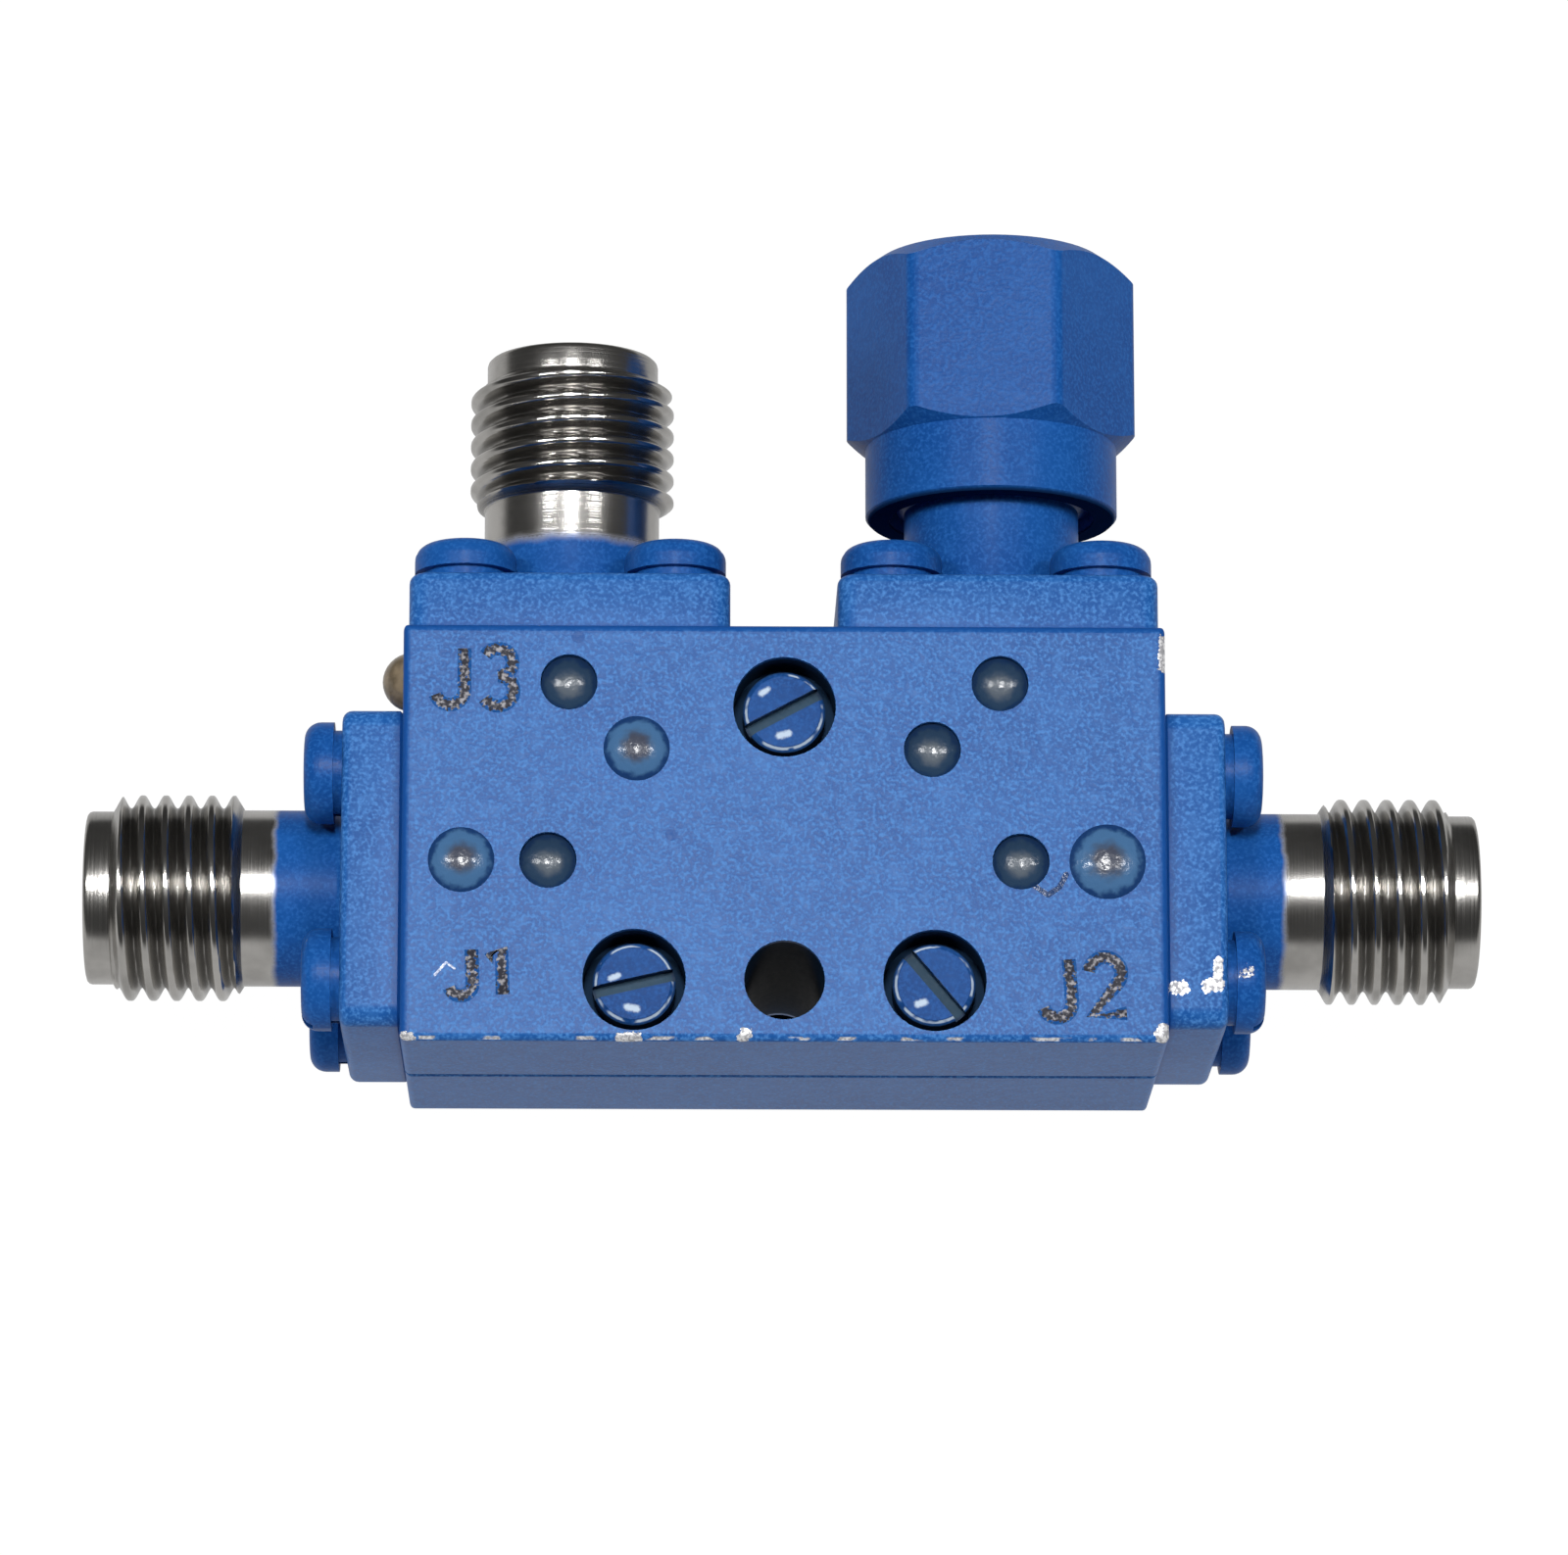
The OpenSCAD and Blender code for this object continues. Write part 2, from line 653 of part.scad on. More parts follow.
// Hex with turned chamfers at both ends, over a round collar that covers the thread
module load_nut() {
    rim_inset = 0.35;
    foot_bevel = 0.12;
    rim_r = nut_af / 2 - rim_inset;
    out_r = hex_d / 2 + cut_over;
    slope = tan(hex_chamfer);
    foot_rise = (out_r - collar_d / 2) * slope;
    top_drop = (out_r - rim_r) * slope;
    color(paint_blue)
        at_port(isolated_port)
            difference() {
                union() {
                    intersection() {
                        translate([0, 0, hex_z]) rotate(hex_turn)
                            linear_extrude(hex_l) rounded_hexagon(nut_af, hex_r);
                        rotate_extrude()
                            polygon([
                                [0, hex_z], [collar_d / 2, hex_z], [out_r, hex_z + foot_rise],
                                [out_r, nut_top_z - top_drop], [rim_r, nut_top_z], [0, nut_top_z]
                            ]);
                    }
                    rotate_extrude()
                        polygon([
                            [0, nut_foot_z], [collar_d / 2 - foot_bevel, nut_foot_z],
                            [collar_d / 2, nut_foot_z + foot_bevel], [collar_d / 2, hex_z + fit_gap],
                            [0, hex_z + fit_gap]
                        ]);
                }
                translate([0, 0, nut_foot_z - cut_over])
                    cylinder(d = nut_bore_d, h = boss_z - nut_foot_z + cut_over);
                cylinder(d = boss_d + 2 * fit_gap, h = nut_top_z + cut_over);
            }
}

// Sleeve that enters the jack's mouth, disc that the nut pulls on, and rear end with the resistor's bore
module load_body() {
    color(paint_blue)
        at_port(isolated_port)
            rotate_extrude()
                polygon([
                    [load_bore_d / 2, mouth_z], [sleeve_d / 2, mouth_z], [sleeve_d / 2, disc_z],
                    [disc_d / 2, disc_z], [disc_d / 2, boss_z], [boss_d / 2, boss_z],
                    [boss_d / 2, boss_top_z], [0, boss_top_z], [0, resistor_top_z],
                    [resistor_bore_d / 2, resistor_top_z], [resistor_bore_d / 2, disc_z],
                    [load_bore_d / 2, disc_z]
                ]);
}

module load_gasket() {
    color("darkred")
        at_port(isolated_port)
            translate([0, 0, barrel_l])
                difference() {
                    cylinder(d = disc_d, h = gasket_t);
                    translate([0, 0, -cut_over]) cylinder(d = mouth_d, h = gasket_t + 2 * cut_over);
                }
}

module load_bead() {
    color(ptfe)
        at_port(isolated_port)
            translate([0, 0, mouth_z])
                difference() {
                    cylinder(d = bead_d, h = disc_z - mouth_z);
                    translate([0, 0, -cut_over]) cylinder(d = pin_d + 2 * fit_gap, h = barrel_l);
                }
}

module load_pin() {
    tip_cone = 0.3;
    tip_r = 0.2;
    tip_z = contact_face_z - pin_reach;
    color(gold)
        at_port(isolated_port)
            rotate_extrude()
                polygon([
                    [0, tip_z], [tip_r, tip_z], [pin_d / 2, tip_z + tip_cone],
                    [pin_d / 2, resistor_z], [0, resistor_z]
                ]);
}

module load_resistor() {
    color("dimgray")
        at_port(isolated_port)
            translate([0, 0, resistor_z]) cylinder(d = resistor_d, h = resistor_top_z - resistor_z);
}

front_housing();
rear_housing();
housing_screws();
upper_board();
lower_board();
main_line();
coupled_line();
trim_screws();
resin_domes();
resin_fills();
side_resin();
input_jack();
input_bead();
input_contact();
input_screws();
input_washers();
output_jack();
output_bead();
output_contact();
output_screws();
output_washers();
coupled_jack();
coupled_bead();
coupled_contact();
coupled_screws();
coupled_washers();
isolated_jack();
isolated_bead();
isolated_contact();
isolated_screws();
isolated_washers();
load_nut();
load_body();
load_gasket();
load_bead();
load_pin();
load_resistor();
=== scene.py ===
"""Looks of a stripline directional coupler: painted case, threaded jacks, resin seals and port marks."""
import functools
import json
import math

import bmesh
import bpy
from mathutils import Matrix, Vector


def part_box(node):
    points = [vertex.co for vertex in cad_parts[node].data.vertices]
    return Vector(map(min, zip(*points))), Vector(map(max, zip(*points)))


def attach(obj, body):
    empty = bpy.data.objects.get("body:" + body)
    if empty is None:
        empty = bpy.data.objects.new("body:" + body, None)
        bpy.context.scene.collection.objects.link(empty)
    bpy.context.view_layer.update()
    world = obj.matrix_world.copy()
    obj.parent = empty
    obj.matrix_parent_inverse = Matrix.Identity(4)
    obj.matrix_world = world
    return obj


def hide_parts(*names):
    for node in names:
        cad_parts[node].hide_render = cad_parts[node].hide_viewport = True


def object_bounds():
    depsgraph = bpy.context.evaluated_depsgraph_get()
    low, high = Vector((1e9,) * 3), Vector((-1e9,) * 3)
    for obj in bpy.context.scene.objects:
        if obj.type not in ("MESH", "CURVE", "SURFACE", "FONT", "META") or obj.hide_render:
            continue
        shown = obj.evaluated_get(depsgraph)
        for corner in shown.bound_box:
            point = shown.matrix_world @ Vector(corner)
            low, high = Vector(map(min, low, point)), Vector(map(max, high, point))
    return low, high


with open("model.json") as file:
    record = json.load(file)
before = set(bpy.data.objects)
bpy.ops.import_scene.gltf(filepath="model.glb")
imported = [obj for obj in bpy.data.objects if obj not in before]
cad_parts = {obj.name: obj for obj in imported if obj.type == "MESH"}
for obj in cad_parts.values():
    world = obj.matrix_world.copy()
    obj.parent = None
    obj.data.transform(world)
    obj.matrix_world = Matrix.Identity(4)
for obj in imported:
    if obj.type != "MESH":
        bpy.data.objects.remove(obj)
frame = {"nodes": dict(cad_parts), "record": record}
cad_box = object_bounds()

MM = 0.001
MOUNTS = {mount["name"]: mount["dims"] for mount in frame["record"]["mounts"]}

# Direction of each jack's barrel
PORTS = {"input": (-1, 0, 0), "output": (1, 0, 0), "coupled": (0, 1, 0), "isolated": (0, 1, 0)}

# Sizes of the jacks that the frame doesn't state, in millimetres
PITCH = 25.4 / 36
THREAD_DEPTH = 0.4
CREST_W = 0.09
FLANGE_T = 1.85
FLANGE_R = 0.6
FLANGE_EASE = 0.3
SEAT_EASE = FLANGE_EASE / 3
NECK_R = 2.7
NECK_FILLET = 0.25
THREAD_START = 4.95
THREAD_L = 4.0
THREAD_CONE = 0.28
LEAD_R = 2.65
TIP_EASE = 0.16
MOUTH_EASE = TIP_EASE / 2
BORE_R = 2.07
SCREW_PITCH = 6.4
SCREW_HOLE_R = 0.87

# Steps of the jacks' meshes
TURN_STEPS = 144
ROWS_PER_PITCH = 20
CORNER_STEPS = 8
HOLE_STEPS = 24
FILLET_STEPS = 4
TIP_STEPS = 3
EASE_STEPS = 5

# Angles, in degrees, past which an edge is shaded sharp or is eased, and the steps of that ease
SHARP_ANGLE = 32
EASE_ANGLE = 28
EASE_SEGMENTS = 2

# Colours, linear; those of paint are its main, pale and deep tones
CASE_TONES = ((0.0145, 0.091, 0.316), (0.053, 0.193, 0.50), (0.0095, 0.073, 0.274))
# A darker copy of the case enamel, as painted shade on the turned parts
NECK_SHADE_TONES = ((0.0075, 0.071, 0.275), (0.0155, 0.102, 0.352), (0.0055, 0.057, 0.24))
# A darker copy of the enamel on the sunk case screw heads, as painted shade
HEAD_SHADE_TONES = ((0.013, 0.068, 0.245), (0.022, 0.094, 0.310), (0.009, 0.052, 0.200))
# Painted shade along the case's front edges and where the flanges meet the case
EDGE_SHADE = (0.007, 0.062, 0.255)
# Painted shade in the gaps around the sunk screw heads and in the mounting hole
RECESS_SHADE = (0.014, 0.034, 0.072)
# Painted shade on the nut's rear end inside the gap
NUT_REAR_SHADE = (0.004, 0.020, 0.070)
# Greyer and darker slot floor: dirt and painted shade
SLOT_DIRT_AND_SHADE = (0.028, 0.062, 0.100)
# Painted highlight on the edges and tops of the case screw heads
HEAD_GLINT = (0.48, 0.58, 0.70)
STEEL = (0.54, 0.525, 0.50)
# Dark steel, for stains and for painted shade in the thread's grooves
STEEL_DARK = (0.06, 0.057, 0.053)
BARE_METAL = (0.74, 0.74, 0.75)
BARE_DARK = (0.36, 0.36, 0.38)
GOLD = (0.83, 0.56, 0.20)
PTFE = (0.84, 0.84, 0.81)
COPPER = (0.72, 0.36, 0.20)
# Resin drawn opaque: dark rims as painted shade, bodies as painted light refracted in the resin, middles as
# the screw seen through
DOME_RIM = (0.007, 0.034, 0.120)
DOME_BODY = (0.050, 0.130, 0.265)
DOME_MIDDLE = (0.046, 0.054, 0.082)
# Sunk resin: a rim of painted shade, then darker resin, then the screw seen through
FILL_RIM = (0.006, 0.026, 0.080)
FILL_BODY = (0.018, 0.043, 0.086)
FILL_MIDDLE = (0.085, 0.105, 0.130)
AMBER = (0.22, 0.17, 0.11)
AMBER_DARK = tuple(0.5 * c for c in AMBER)
INK = (0.035, 0.035, 0.045)
INK_PALE = (0.34, 0.33, 0.35)
RUBBER = (0.20, 0.03, 0.02)
CERAMIC = (0.10, 0.10, 0.10)
FLOOR = (0.02, 0.02, 0.02)

# Where most values of a noise lie
NOISE_SPAN = (0.3, 0.7)

# Gloss of the enamel, of that on the case screws, of the painted shade in the recesses and of resin
PAINT_LEVEL = 0.10
HEAD_LEVEL = 0.03
SHADE_LEVEL = 0.002
RESIN_LEVEL = 0.5

# Sprayed enamel: sizes of its patterns in millimetres, how far they go, and depth and strength of its bump
CLOUD_MM = 3.0
MOTTLE_MM = 0.45
MOTTLE_SPAN = (0.45, 0.75)
MOTTLE_SHARE = 0.35
GRAIN_MM = 0.11
GRAIN_SPAN = (0.42, 0.70)
RIPPLE_MM = 0.6
RIPPLE_SHARE = 1.4
PAINT_ROUGHNESS = (0.31, 0.40)
PAINT_BUMP = (0.012, 0.5)

# Metal under the paint: its grain, roughness and depth, and how much of it a scratch shows
METAL_GRAIN_MM = 0.1
METAL_SPAN = (0.42, 0.6)
METAL_ROUGHNESS = (0.4, 0.65)
BARE_METALLIC = 0.4
BARE_DEPTH = 2.0
SCRATCH_SHARE = 0.6

# Reach of the wear on the lower front edge, in millimetres, and its broken runs
WEAR_REACH = (0.10, 0.135)
WEAR_RUN_MM = 0.8
WEAR_SPAN = (0.50, 0.56)

# Painted shade along the front's other edges, in millimetres: inwards, and down the sides
BAND_REACH = (0.06, 0.34)
BAND_DEPTH = (0.2, 0.6)

# Painted shade in the recesses, in millimetres: radius, start below the front, and end above the back
RECESS_R = (1.62, 1.68)
RECESS_START = (0.10, 0.34)
RECESS_END = (0.1, 0.3)

# Length of the painted shade on the nut's rear end, in millimetres
NUT_SHADE = (0.02, 0.14)

# Case screws, in millimetres: the head's side in painted shade, its painted highlights in broken runs, and
# the depth of its slot
SIDE_INSET = (0.04, 0.12)
SIDE_DEPTH = (0.08, 0.2)
GLINT_DEPTH = 0.06
GLINT_REACH = (0.02, 0.05)
GLINT_RUN_MM = 0.8
GLINT_SPAN = (0.46, 0.54)
SLOT_DEPTH = (0.2, 0.42)

# Where the paint ends on each barrel from the flange's seat, half of its fading band, and its ragged line, in
# millimetres
PAINT_END = {"input": 3.95, "output": 3.75, "coupled": 3.55, "isolated": 12}
PAINT_FADE = {"input": 0.14, "output": 0.14, "coupled": 0.25, "isolated": 0.14}
PAINT_RUN_MM = 0.8
PAINT_RAGGED = 0.28

# Bands of the jacks' finish, in millimetres from the flange's seat
# The seat's band gets painted shade where the flange meets the case
SEAT_BAND = (0.04, 0.3)
# The neck's band, where the darker copy of the enamel, as painted shade, begins
NECK_BAND = (FLANGE_T - 0.1, FLANGE_T + 0.2)
THREAD_END = THREAD_START + THREAD_L - THREAD_CONE
THREAD_RISE = (THREAD_START, THREAD_START + 0.2)
THREAD_FALL = (THREAD_END - 0.1, THREAD_END + 0.1)

# Turned steel: lathe marks to a millimetre, its stains, the painted shade in its grooves, and its roughness
LATHE_MARKS = 26.0
LATHE_BUMP = (0.01, 0.4)
STAIN_MM = 1.6
STAIN_SPAN = (0.35, 0.75)
STAIN_SHARE = 0.35
GROOVE_SPAN = (0.2, 0.8)
GROOVE_SHADE_SHARE = 0.6
TURNED_ROUGHNESS = (0.18, 0.27)
THREAD_ROUGHNESS = 0.16
GROOVE_ROUGHNESS = 0.3

# Poured resin: clouds in millimetres, and the shares of its radius where the middle ends and the rim starts
RESIN_CLOUD_MM = 0.3
RESIN_CLOUD_SHARE = 0.4
RESIN_MIDDLE = (0.25, 0.65)
RESIN_RIM = (0.76, 0.94)
RESIN_BUMP = (0.05, 0.5)
RUN_ROUGHNESS = 0.15
AMBER_CLOUD_MM = 0.45
AMBER_SPAN = (0.35, 0.7)
AMBER_BUMP = (0.03, 0.4)

# Ink: its speckle, how fast it thins out to the border of a stroke, and its tones
SPECKLE_MM = 0.11
SPECKLE_SHARE = 1.9
BORDER_SHARE = 0.85
INKED_SPAN = (0.30, 0.42)
INK_TONE_MM = 0.14
INK_TONE_SPAN = (0.46, 0.66)
INK_ROUGHNESS = 0.55
INK_DEPTH = 1.2
INK_BUMP = (0.012, 0.45)

# Plain finishes
PLAIN_GRAIN_MM = 0.4
PLAIN_BUMP = (0.006, 0.5)

# How far a spot's border lies from its middle, as a share of its radius
SPOT_BORDER = 0.9

# Distance in millimetres within which points of a solid are taken as one
MERGE_MM = 0.001


def body_box():
    """Lowest and highest corners of the whole case, in millimetres."""
    rear_low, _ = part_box("rear_housing")
    _, front_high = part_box("front_housing")
    return Vector(rear_low) / MM, Vector(front_high) / MM


BODY_LOW, BODY_HIGH = body_box()
FRONT_Z = BODY_HIGH.z
FRONT_MIDDLE = Vector((0, (BODY_LOW.y + BODY_HIGH.y) / 2, FRONT_Z))


def set_ramp(node, limits):
    """Makes a map range node smooth, and sets the limits it goes from and to."""
    node.interpolation_type = "SMOOTHSTEP"
    for key, number in zip(("From Min", "From Max", "To Min", "To Max"), limits):
        node.inputs[key].default_value = number


class Graph:
    """A material with one Principled shader, and short ways to make the nodes that feed it."""

    def __init__(self, name):
        self.material = bpy.data.materials.new(name)
        self.material.use_nodes = True
        self.tree = self.material.node_tree
        self.tree.nodes.clear()
        output = self.tree.nodes.new("ShaderNodeOutputMaterial")
        self.shader = self.tree.nodes.new("ShaderNodeBsdfPrincipled")
        self.tree.links.new(self.shader.outputs["BSDF"], output.inputs["Surface"])
        self.place = self.tree.nodes.new("ShaderNodeTexCoord").outputs["Object"]

    def put(self, socket, value):
        """Links a socket to another, or sets its value."""
        if isinstance(value, bpy.types.NodeSocket):
            self.tree.links.new(value, socket)
        elif isinstance(value, tuple) and len(value) == 3 and len(socket.default_value) == 4:
            socket.default_value = (*value, 1.0)
        else:
            socket.default_value = value

    def set(self, **inputs):
        """Sets shader inputs, with underscores for the spaces in their names."""
        for name, value in inputs.items():
            self.put(self.shader.inputs[name.replace("_", " ")], value)

    def math(self, operation, a, b=0.0, clamp=False):
        node = self.tree.nodes.new("ShaderNodeMath")
        node.operation = operation
        node.use_clamp = clamp
        self.put(node.inputs[0], a)
        self.put(node.inputs[1], b)
        return node.outputs[0]

    def vector(self, operation, a, b=(0, 0, 0), output="Vector"):
        node = self.tree.nodes.new("ShaderNodeVectorMath")
        node.operation = operation
        self.put(node.inputs[0], a)
        self.put(node.inputs["Scale"] if operation == "SCALE" else node.inputs[1], b)
        return node.outputs[output]

    def noise(self, size_mm, detail=2.0):
        """Noise whose features are about size_mm across."""
        node = self.tree.nodes.new("ShaderNodeTexNoise")
        node.inputs["Scale"].default_value = 1 / (size_mm * MM)
        node.inputs["Detail"].default_value = detail
        self.put(node.inputs["Vector"], self.place)
        return node.outputs["Fac"]

    def lines(self, value, scale):
        """Noise along one number, for the marks of a lathe."""
        node = self.tree.nodes.new("ShaderNodeTexNoise")
        node.noise_dimensions = "1D"
        node.inputs["Scale"].default_value = scale
        node.inputs["Detail"].default_value = 3.0
        self.put(node.inputs["W"], value)
        return node.outputs["Fac"]

    def axis(self, letter):
        node = self.tree.nodes.new("ShaderNodeSeparateXYZ")
        self.put(node.inputs[0], self.place)
        return node.outputs[letter]

    def attribute(self, name):
        node = self.tree.nodes.new("ShaderNodeAttribute")
        node.attribute_name = name
        return node.outputs["Fac"]

    def range(self, value, low, high, to_low=0.0, to_high=1.0):
        """Goes smoothly from one number to another while a value goes from low to high."""
        node = self.tree.nodes.new("ShaderNodeMapRange")
        set_ramp(node, (low, high, to_low, to_high))
        self.put(node.inputs["Value"], value)
        return node.outputs["Result"]

    def rise(self, place, start_mm, end_mm):
        """Goes from nought to one between two places in millimetres."""
        return self.range(place, start_mm * MM, end_mm * MM)

    def fall(self, place, start_mm, end_mm):
        """Goes from one to nought between two places in millimetres."""
        return self.range(place, start_mm * MM, end_mm * MM, 1.0, 0.0)

    def least(self, values):
        """The smallest of several values."""
        return functools.reduce(lambda a, b: self.math("MINIMUM", a, b), values)

    def mix(self, share, a, b):
        """Mixes two colours, or two numbers, by a share from 0 to 1."""
        node = self.tree.nodes.new("ShaderNodeMix")
        colours = isinstance(a, tuple) or getattr(a, "type", "") == "RGBA"
        node.data_type = "RGBA" if colours else "FLOAT"
        kind = "RGBA" if colours else "VALUE"
        sockets = {s.name: s for s in node.inputs if s.type == kind}
        self.put(node.inputs[0], share)
        self.put(sockets["A"], a)
        self.put(sockets["B"], b)
        return next(s for s in node.outputs if s.type == kind)

    def bump(self, height, depth_mm, strength):
        node = self.tree.nodes.new("ShaderNodeBump")
        node.inputs["Strength"].default_value = strength
        node.inputs["Distance"].default_value = depth_mm * MM
        self.put(node.inputs["Height"], height)
        return node.outputs["Normal"]

    def reach(self, start, end):
        """Distance from a stretch between two places in millimetres, or from one place."""
        start, end = Vector(start) * MM, Vector(end) * MM
        along = end - start
        away = self.vector("SUBTRACT", self.place, tuple(start))
        if along.length == 0:
            return self.vector("LENGTH", away, output="Value")
        share = self.vector("DOT_PRODUCT", away, tuple(along), output="Value")
        share = self.math("DIVIDE", share, along.length_squared, clamp=True)
        nearest = self.vector("SCALE", tuple(along), share)
        return self.vector("LENGTH", self.vector("SUBTRACT", away, nearest), output="Value")

    def flat_place(self):
        """The place on the front face, without its height."""
        return self.vector("MULTIPLY", self.place, (1, 1, 0))


def islands(node):
    """Middle and half width, in millimetres, of each separate solid of a node, seen from the front."""
    bm = bmesh.new()
    bm.from_mesh(frame["nodes"][node].data)
    bmesh.ops.remove_doubles(bm, verts=bm.verts, dist=MERGE_MM * MM)
    found = []
    left = set(bm.verts)
    while left:
        group = [left.pop()]
        for vert in group:
            near = {edge.other_vert(vert) for edge in vert.link_edges} & left
            left -= near
            group.extend(near)
        xs = [vert.co.x / MM for vert in group]
        ys = [vert.co.y / MM for vert in group]
        found.append((((min(xs) + max(xs)) / 2, (min(ys) + max(ys)) / 2), (max(xs) - min(xs)) / 2))
    bm.free()
    return found


def axis_reaches(graph, node):
    """Distance from each axis of a node's solids, which all point to the front, and the solid's radius."""
    flat = graph.flat_place()
    reaches = []
    for (x, y), radius in islands(node):
        away = graph.vector("DISTANCE", flat, (x * MM, y * MM, 0), output="Value")
        reaches.append((away, radius))
    return reaches


def around(graph, node):
    """Distance from the nearest axis of a node's solids."""
    return graph.least([away for away, _ in axis_reaches(graph, node)])


def spot_mask(graph, spots, grain_mm=0.14, ragged=1.2, soft=0.04):
    """One on ragged spots and strokes, each given by its two ends and its radius in millimetres."""
    shares = []
    for start, end, radius in spots:
        shares.append(graph.math("DIVIDE", graph.reach(start, end), radius * MM))
    rough = graph.math("MULTIPLY", graph.noise(grain_mm, detail=3), ragged)
    border = SPOT_BORDER + ragged / 2
    return graph.range(graph.math("ADD", graph.least(shares), rough), border - soft, border + soft, 1.0, 0.0)


def edge_wear_mask(graph):
    """One along the worn lower front edge of the case, in broken runs."""
    down = graph.math("SUBTRACT", graph.axis("Y"), BODY_LOW.y * MM)
    out = graph.math("SUBTRACT", graph.axis("Z"), FRONT_Z * MM)
    square = graph.math("ADD", graph.math("MULTIPLY", down, down), graph.math("MULTIPLY", out, out))
    near = graph.fall(graph.math("SQRT", square), *WEAR_REACH)
    broken = graph.range(graph.noise(WEAR_RUN_MM, detail=4), *WEAR_SPAN)
    return graph.math("MULTIPLY", near, broken)


def edge_shade_mask(graph):
    """One along the front's left, right and upper edges, which get painted shade."""
    aside = graph.math("SUBTRACT", BODY_HIGH.x * MM, graph.math("ABSOLUTE", graph.axis("X")))
    above = graph.math("SUBTRACT", BODY_HIGH.y * MM, graph.axis("Y"))
    near = graph.fall(graph.math("MINIMUM", aside, above), *BAND_REACH)
    front = graph.rise(graph.axis("Z"), FRONT_Z - BAND_DEPTH[1], FRONT_Z - BAND_DEPTH[0])
    return graph.math("MULTIPLY", near, front)


def recess_shade_mask(graph):
    """One in the gaps around the sunk screw heads and in the mounting hole, which get painted shade."""
    hole = graph.vector("LENGTH", graph.flat_place(), output="Value")
    away = graph.math("MINIMUM", around(graph, "housing_screws"), hole)
    inside = graph.fall(away, *RECESS_R)
    sunk = graph.fall(graph.axis("Z"), FRONT_Z - RECESS_START[1], FRONT_Z - RECESS_START[0])
    off_back = graph.rise(graph.axis("Z"), BODY_LOW.z + RECESS_END[0], BODY_LOW.z + RECESS_END[1])
    return graph.math("MULTIPLY", inside, graph.math("MULTIPLY", sunk, off_back))


def paint_parts(graph, tones=CASE_TONES):
    """Colour, roughness and bump height of the sprayed enamel."""
    base, pale, deep = tones
    grain = graph.noise(GRAIN_MM, detail=4)
    cloud = graph.range(graph.noise(CLOUD_MM, detail=3), *NOISE_SPAN)
    mottle = graph.range(graph.noise(MOTTLE_MM, detail=3), *MOTTLE_SPAN, 0.0, MOTTLE_SHARE)
    colour = graph.mix(cloud, base, deep)
    colour = graph.mix(mottle, colour, pale)
    colour = graph.mix(graph.range(grain, *GRAIN_SPAN), colour, pale)
    roughness = graph.range(grain, *NOISE_SPAN, *PAINT_ROUGHNESS)
    height = graph.math("ADD", grain, graph.math("MULTIPLY", graph.noise(RIPPLE_MM), RIPPLE_SHARE))
    return colour, roughness, height


def show_paint(graph, colour, roughness, height, level=PAINT_LEVEL):
    """Sets the shader to a paint without bare metal."""
    graph.set(
        Base_Color=colour,
        Roughness=roughness,
        Normal=graph.bump(height, *PAINT_BUMP),
        Specular_IOR_Level=level,
    )


def bare_metal(graph):
    """Colour and roughness of the metal under the paint."""
    speckle = graph.noise(METAL_GRAIN_MM, detail=3)
    colour = graph.mix(graph.range(speckle, *METAL_SPAN), BARE_METAL, BARE_DARK)
    return colour, graph.range(speckle, *NOISE_SPAN, *METAL_ROUGHNESS)


def show_metal(graph, bare, colour, roughness, height, level=PAINT_LEVEL):
    """Sets the shader to a paint that leaves the metal bare where the mask is one."""
    metal, metal_roughness = bare_metal(graph)
    dented = graph.math("SUBTRACT", height, graph.math("MULTIPLY", bare, BARE_DEPTH))
    show_paint(
        graph,
        graph.mix(bare, colour, metal),
        graph.mix(bare, roughness, metal_roughness),
        dented,
        level,
    )
    graph.set(Metallic=graph.math("MULTIPLY", bare, BARE_METALLIC))


def case_paint():
    """Blue enamel on the case: chipped and worn to the metal, glossy under a run of resin, and with painted
    shade along its front edges and in its recesses.
    """
    graph = Graph("case_paint")
    colour, roughness, height = paint_parts(graph)
    # Painted shade along the front's left, right and upper edges
    colour = graph.mix(edge_shade_mask(graph), colour, EDGE_SHADE)
    colour = graph.mix(spot_mask(graph, CASE_NICKS, ragged=0.6), colour, CASE_TONES[2])
    film = spot_mask(graph, RESIN_RUN, ragged=0.3)
    colour = graph.mix(film, colour, DOME_RIM)
    roughness = graph.mix(film, roughness, RUN_ROUGHNESS)
    # Painted shade in the recesses, with less gloss
    painted_shade = recess_shade_mask(graph)
    colour = graph.mix(painted_shade, colour, RECESS_SHADE)
    level = graph.range(painted_shade, 0.0, 1.0, PAINT_LEVEL, SHADE_LEVEL)
    scratched = spot_mask(graph, SCRATCHES, grain_mm=0.08, ragged=0.7)
    scratched = graph.math("MULTIPLY", scratched, SCRATCH_SHARE)
    bare = graph.math("MAXIMUM", spot_mask(graph, CASE_CHIPS), scratched)
    bare = graph.math("MAXIMUM", bare, edge_wear_mask(graph))
    show_metal(graph, bare, colour, roughness, height, level)
    return graph.material


def enamel(name, chips=()):
    """Blue enamel on the small parts, a darker copy of the case enamel as painted shade, with any chips."""
    graph = Graph(name)
    paint = paint_parts(graph, NECK_SHADE_TONES)
    if chips:
        show_metal(graph, spot_mask(graph, chips), *paint)
    else:
        show_paint(graph, *paint)
    return graph.material


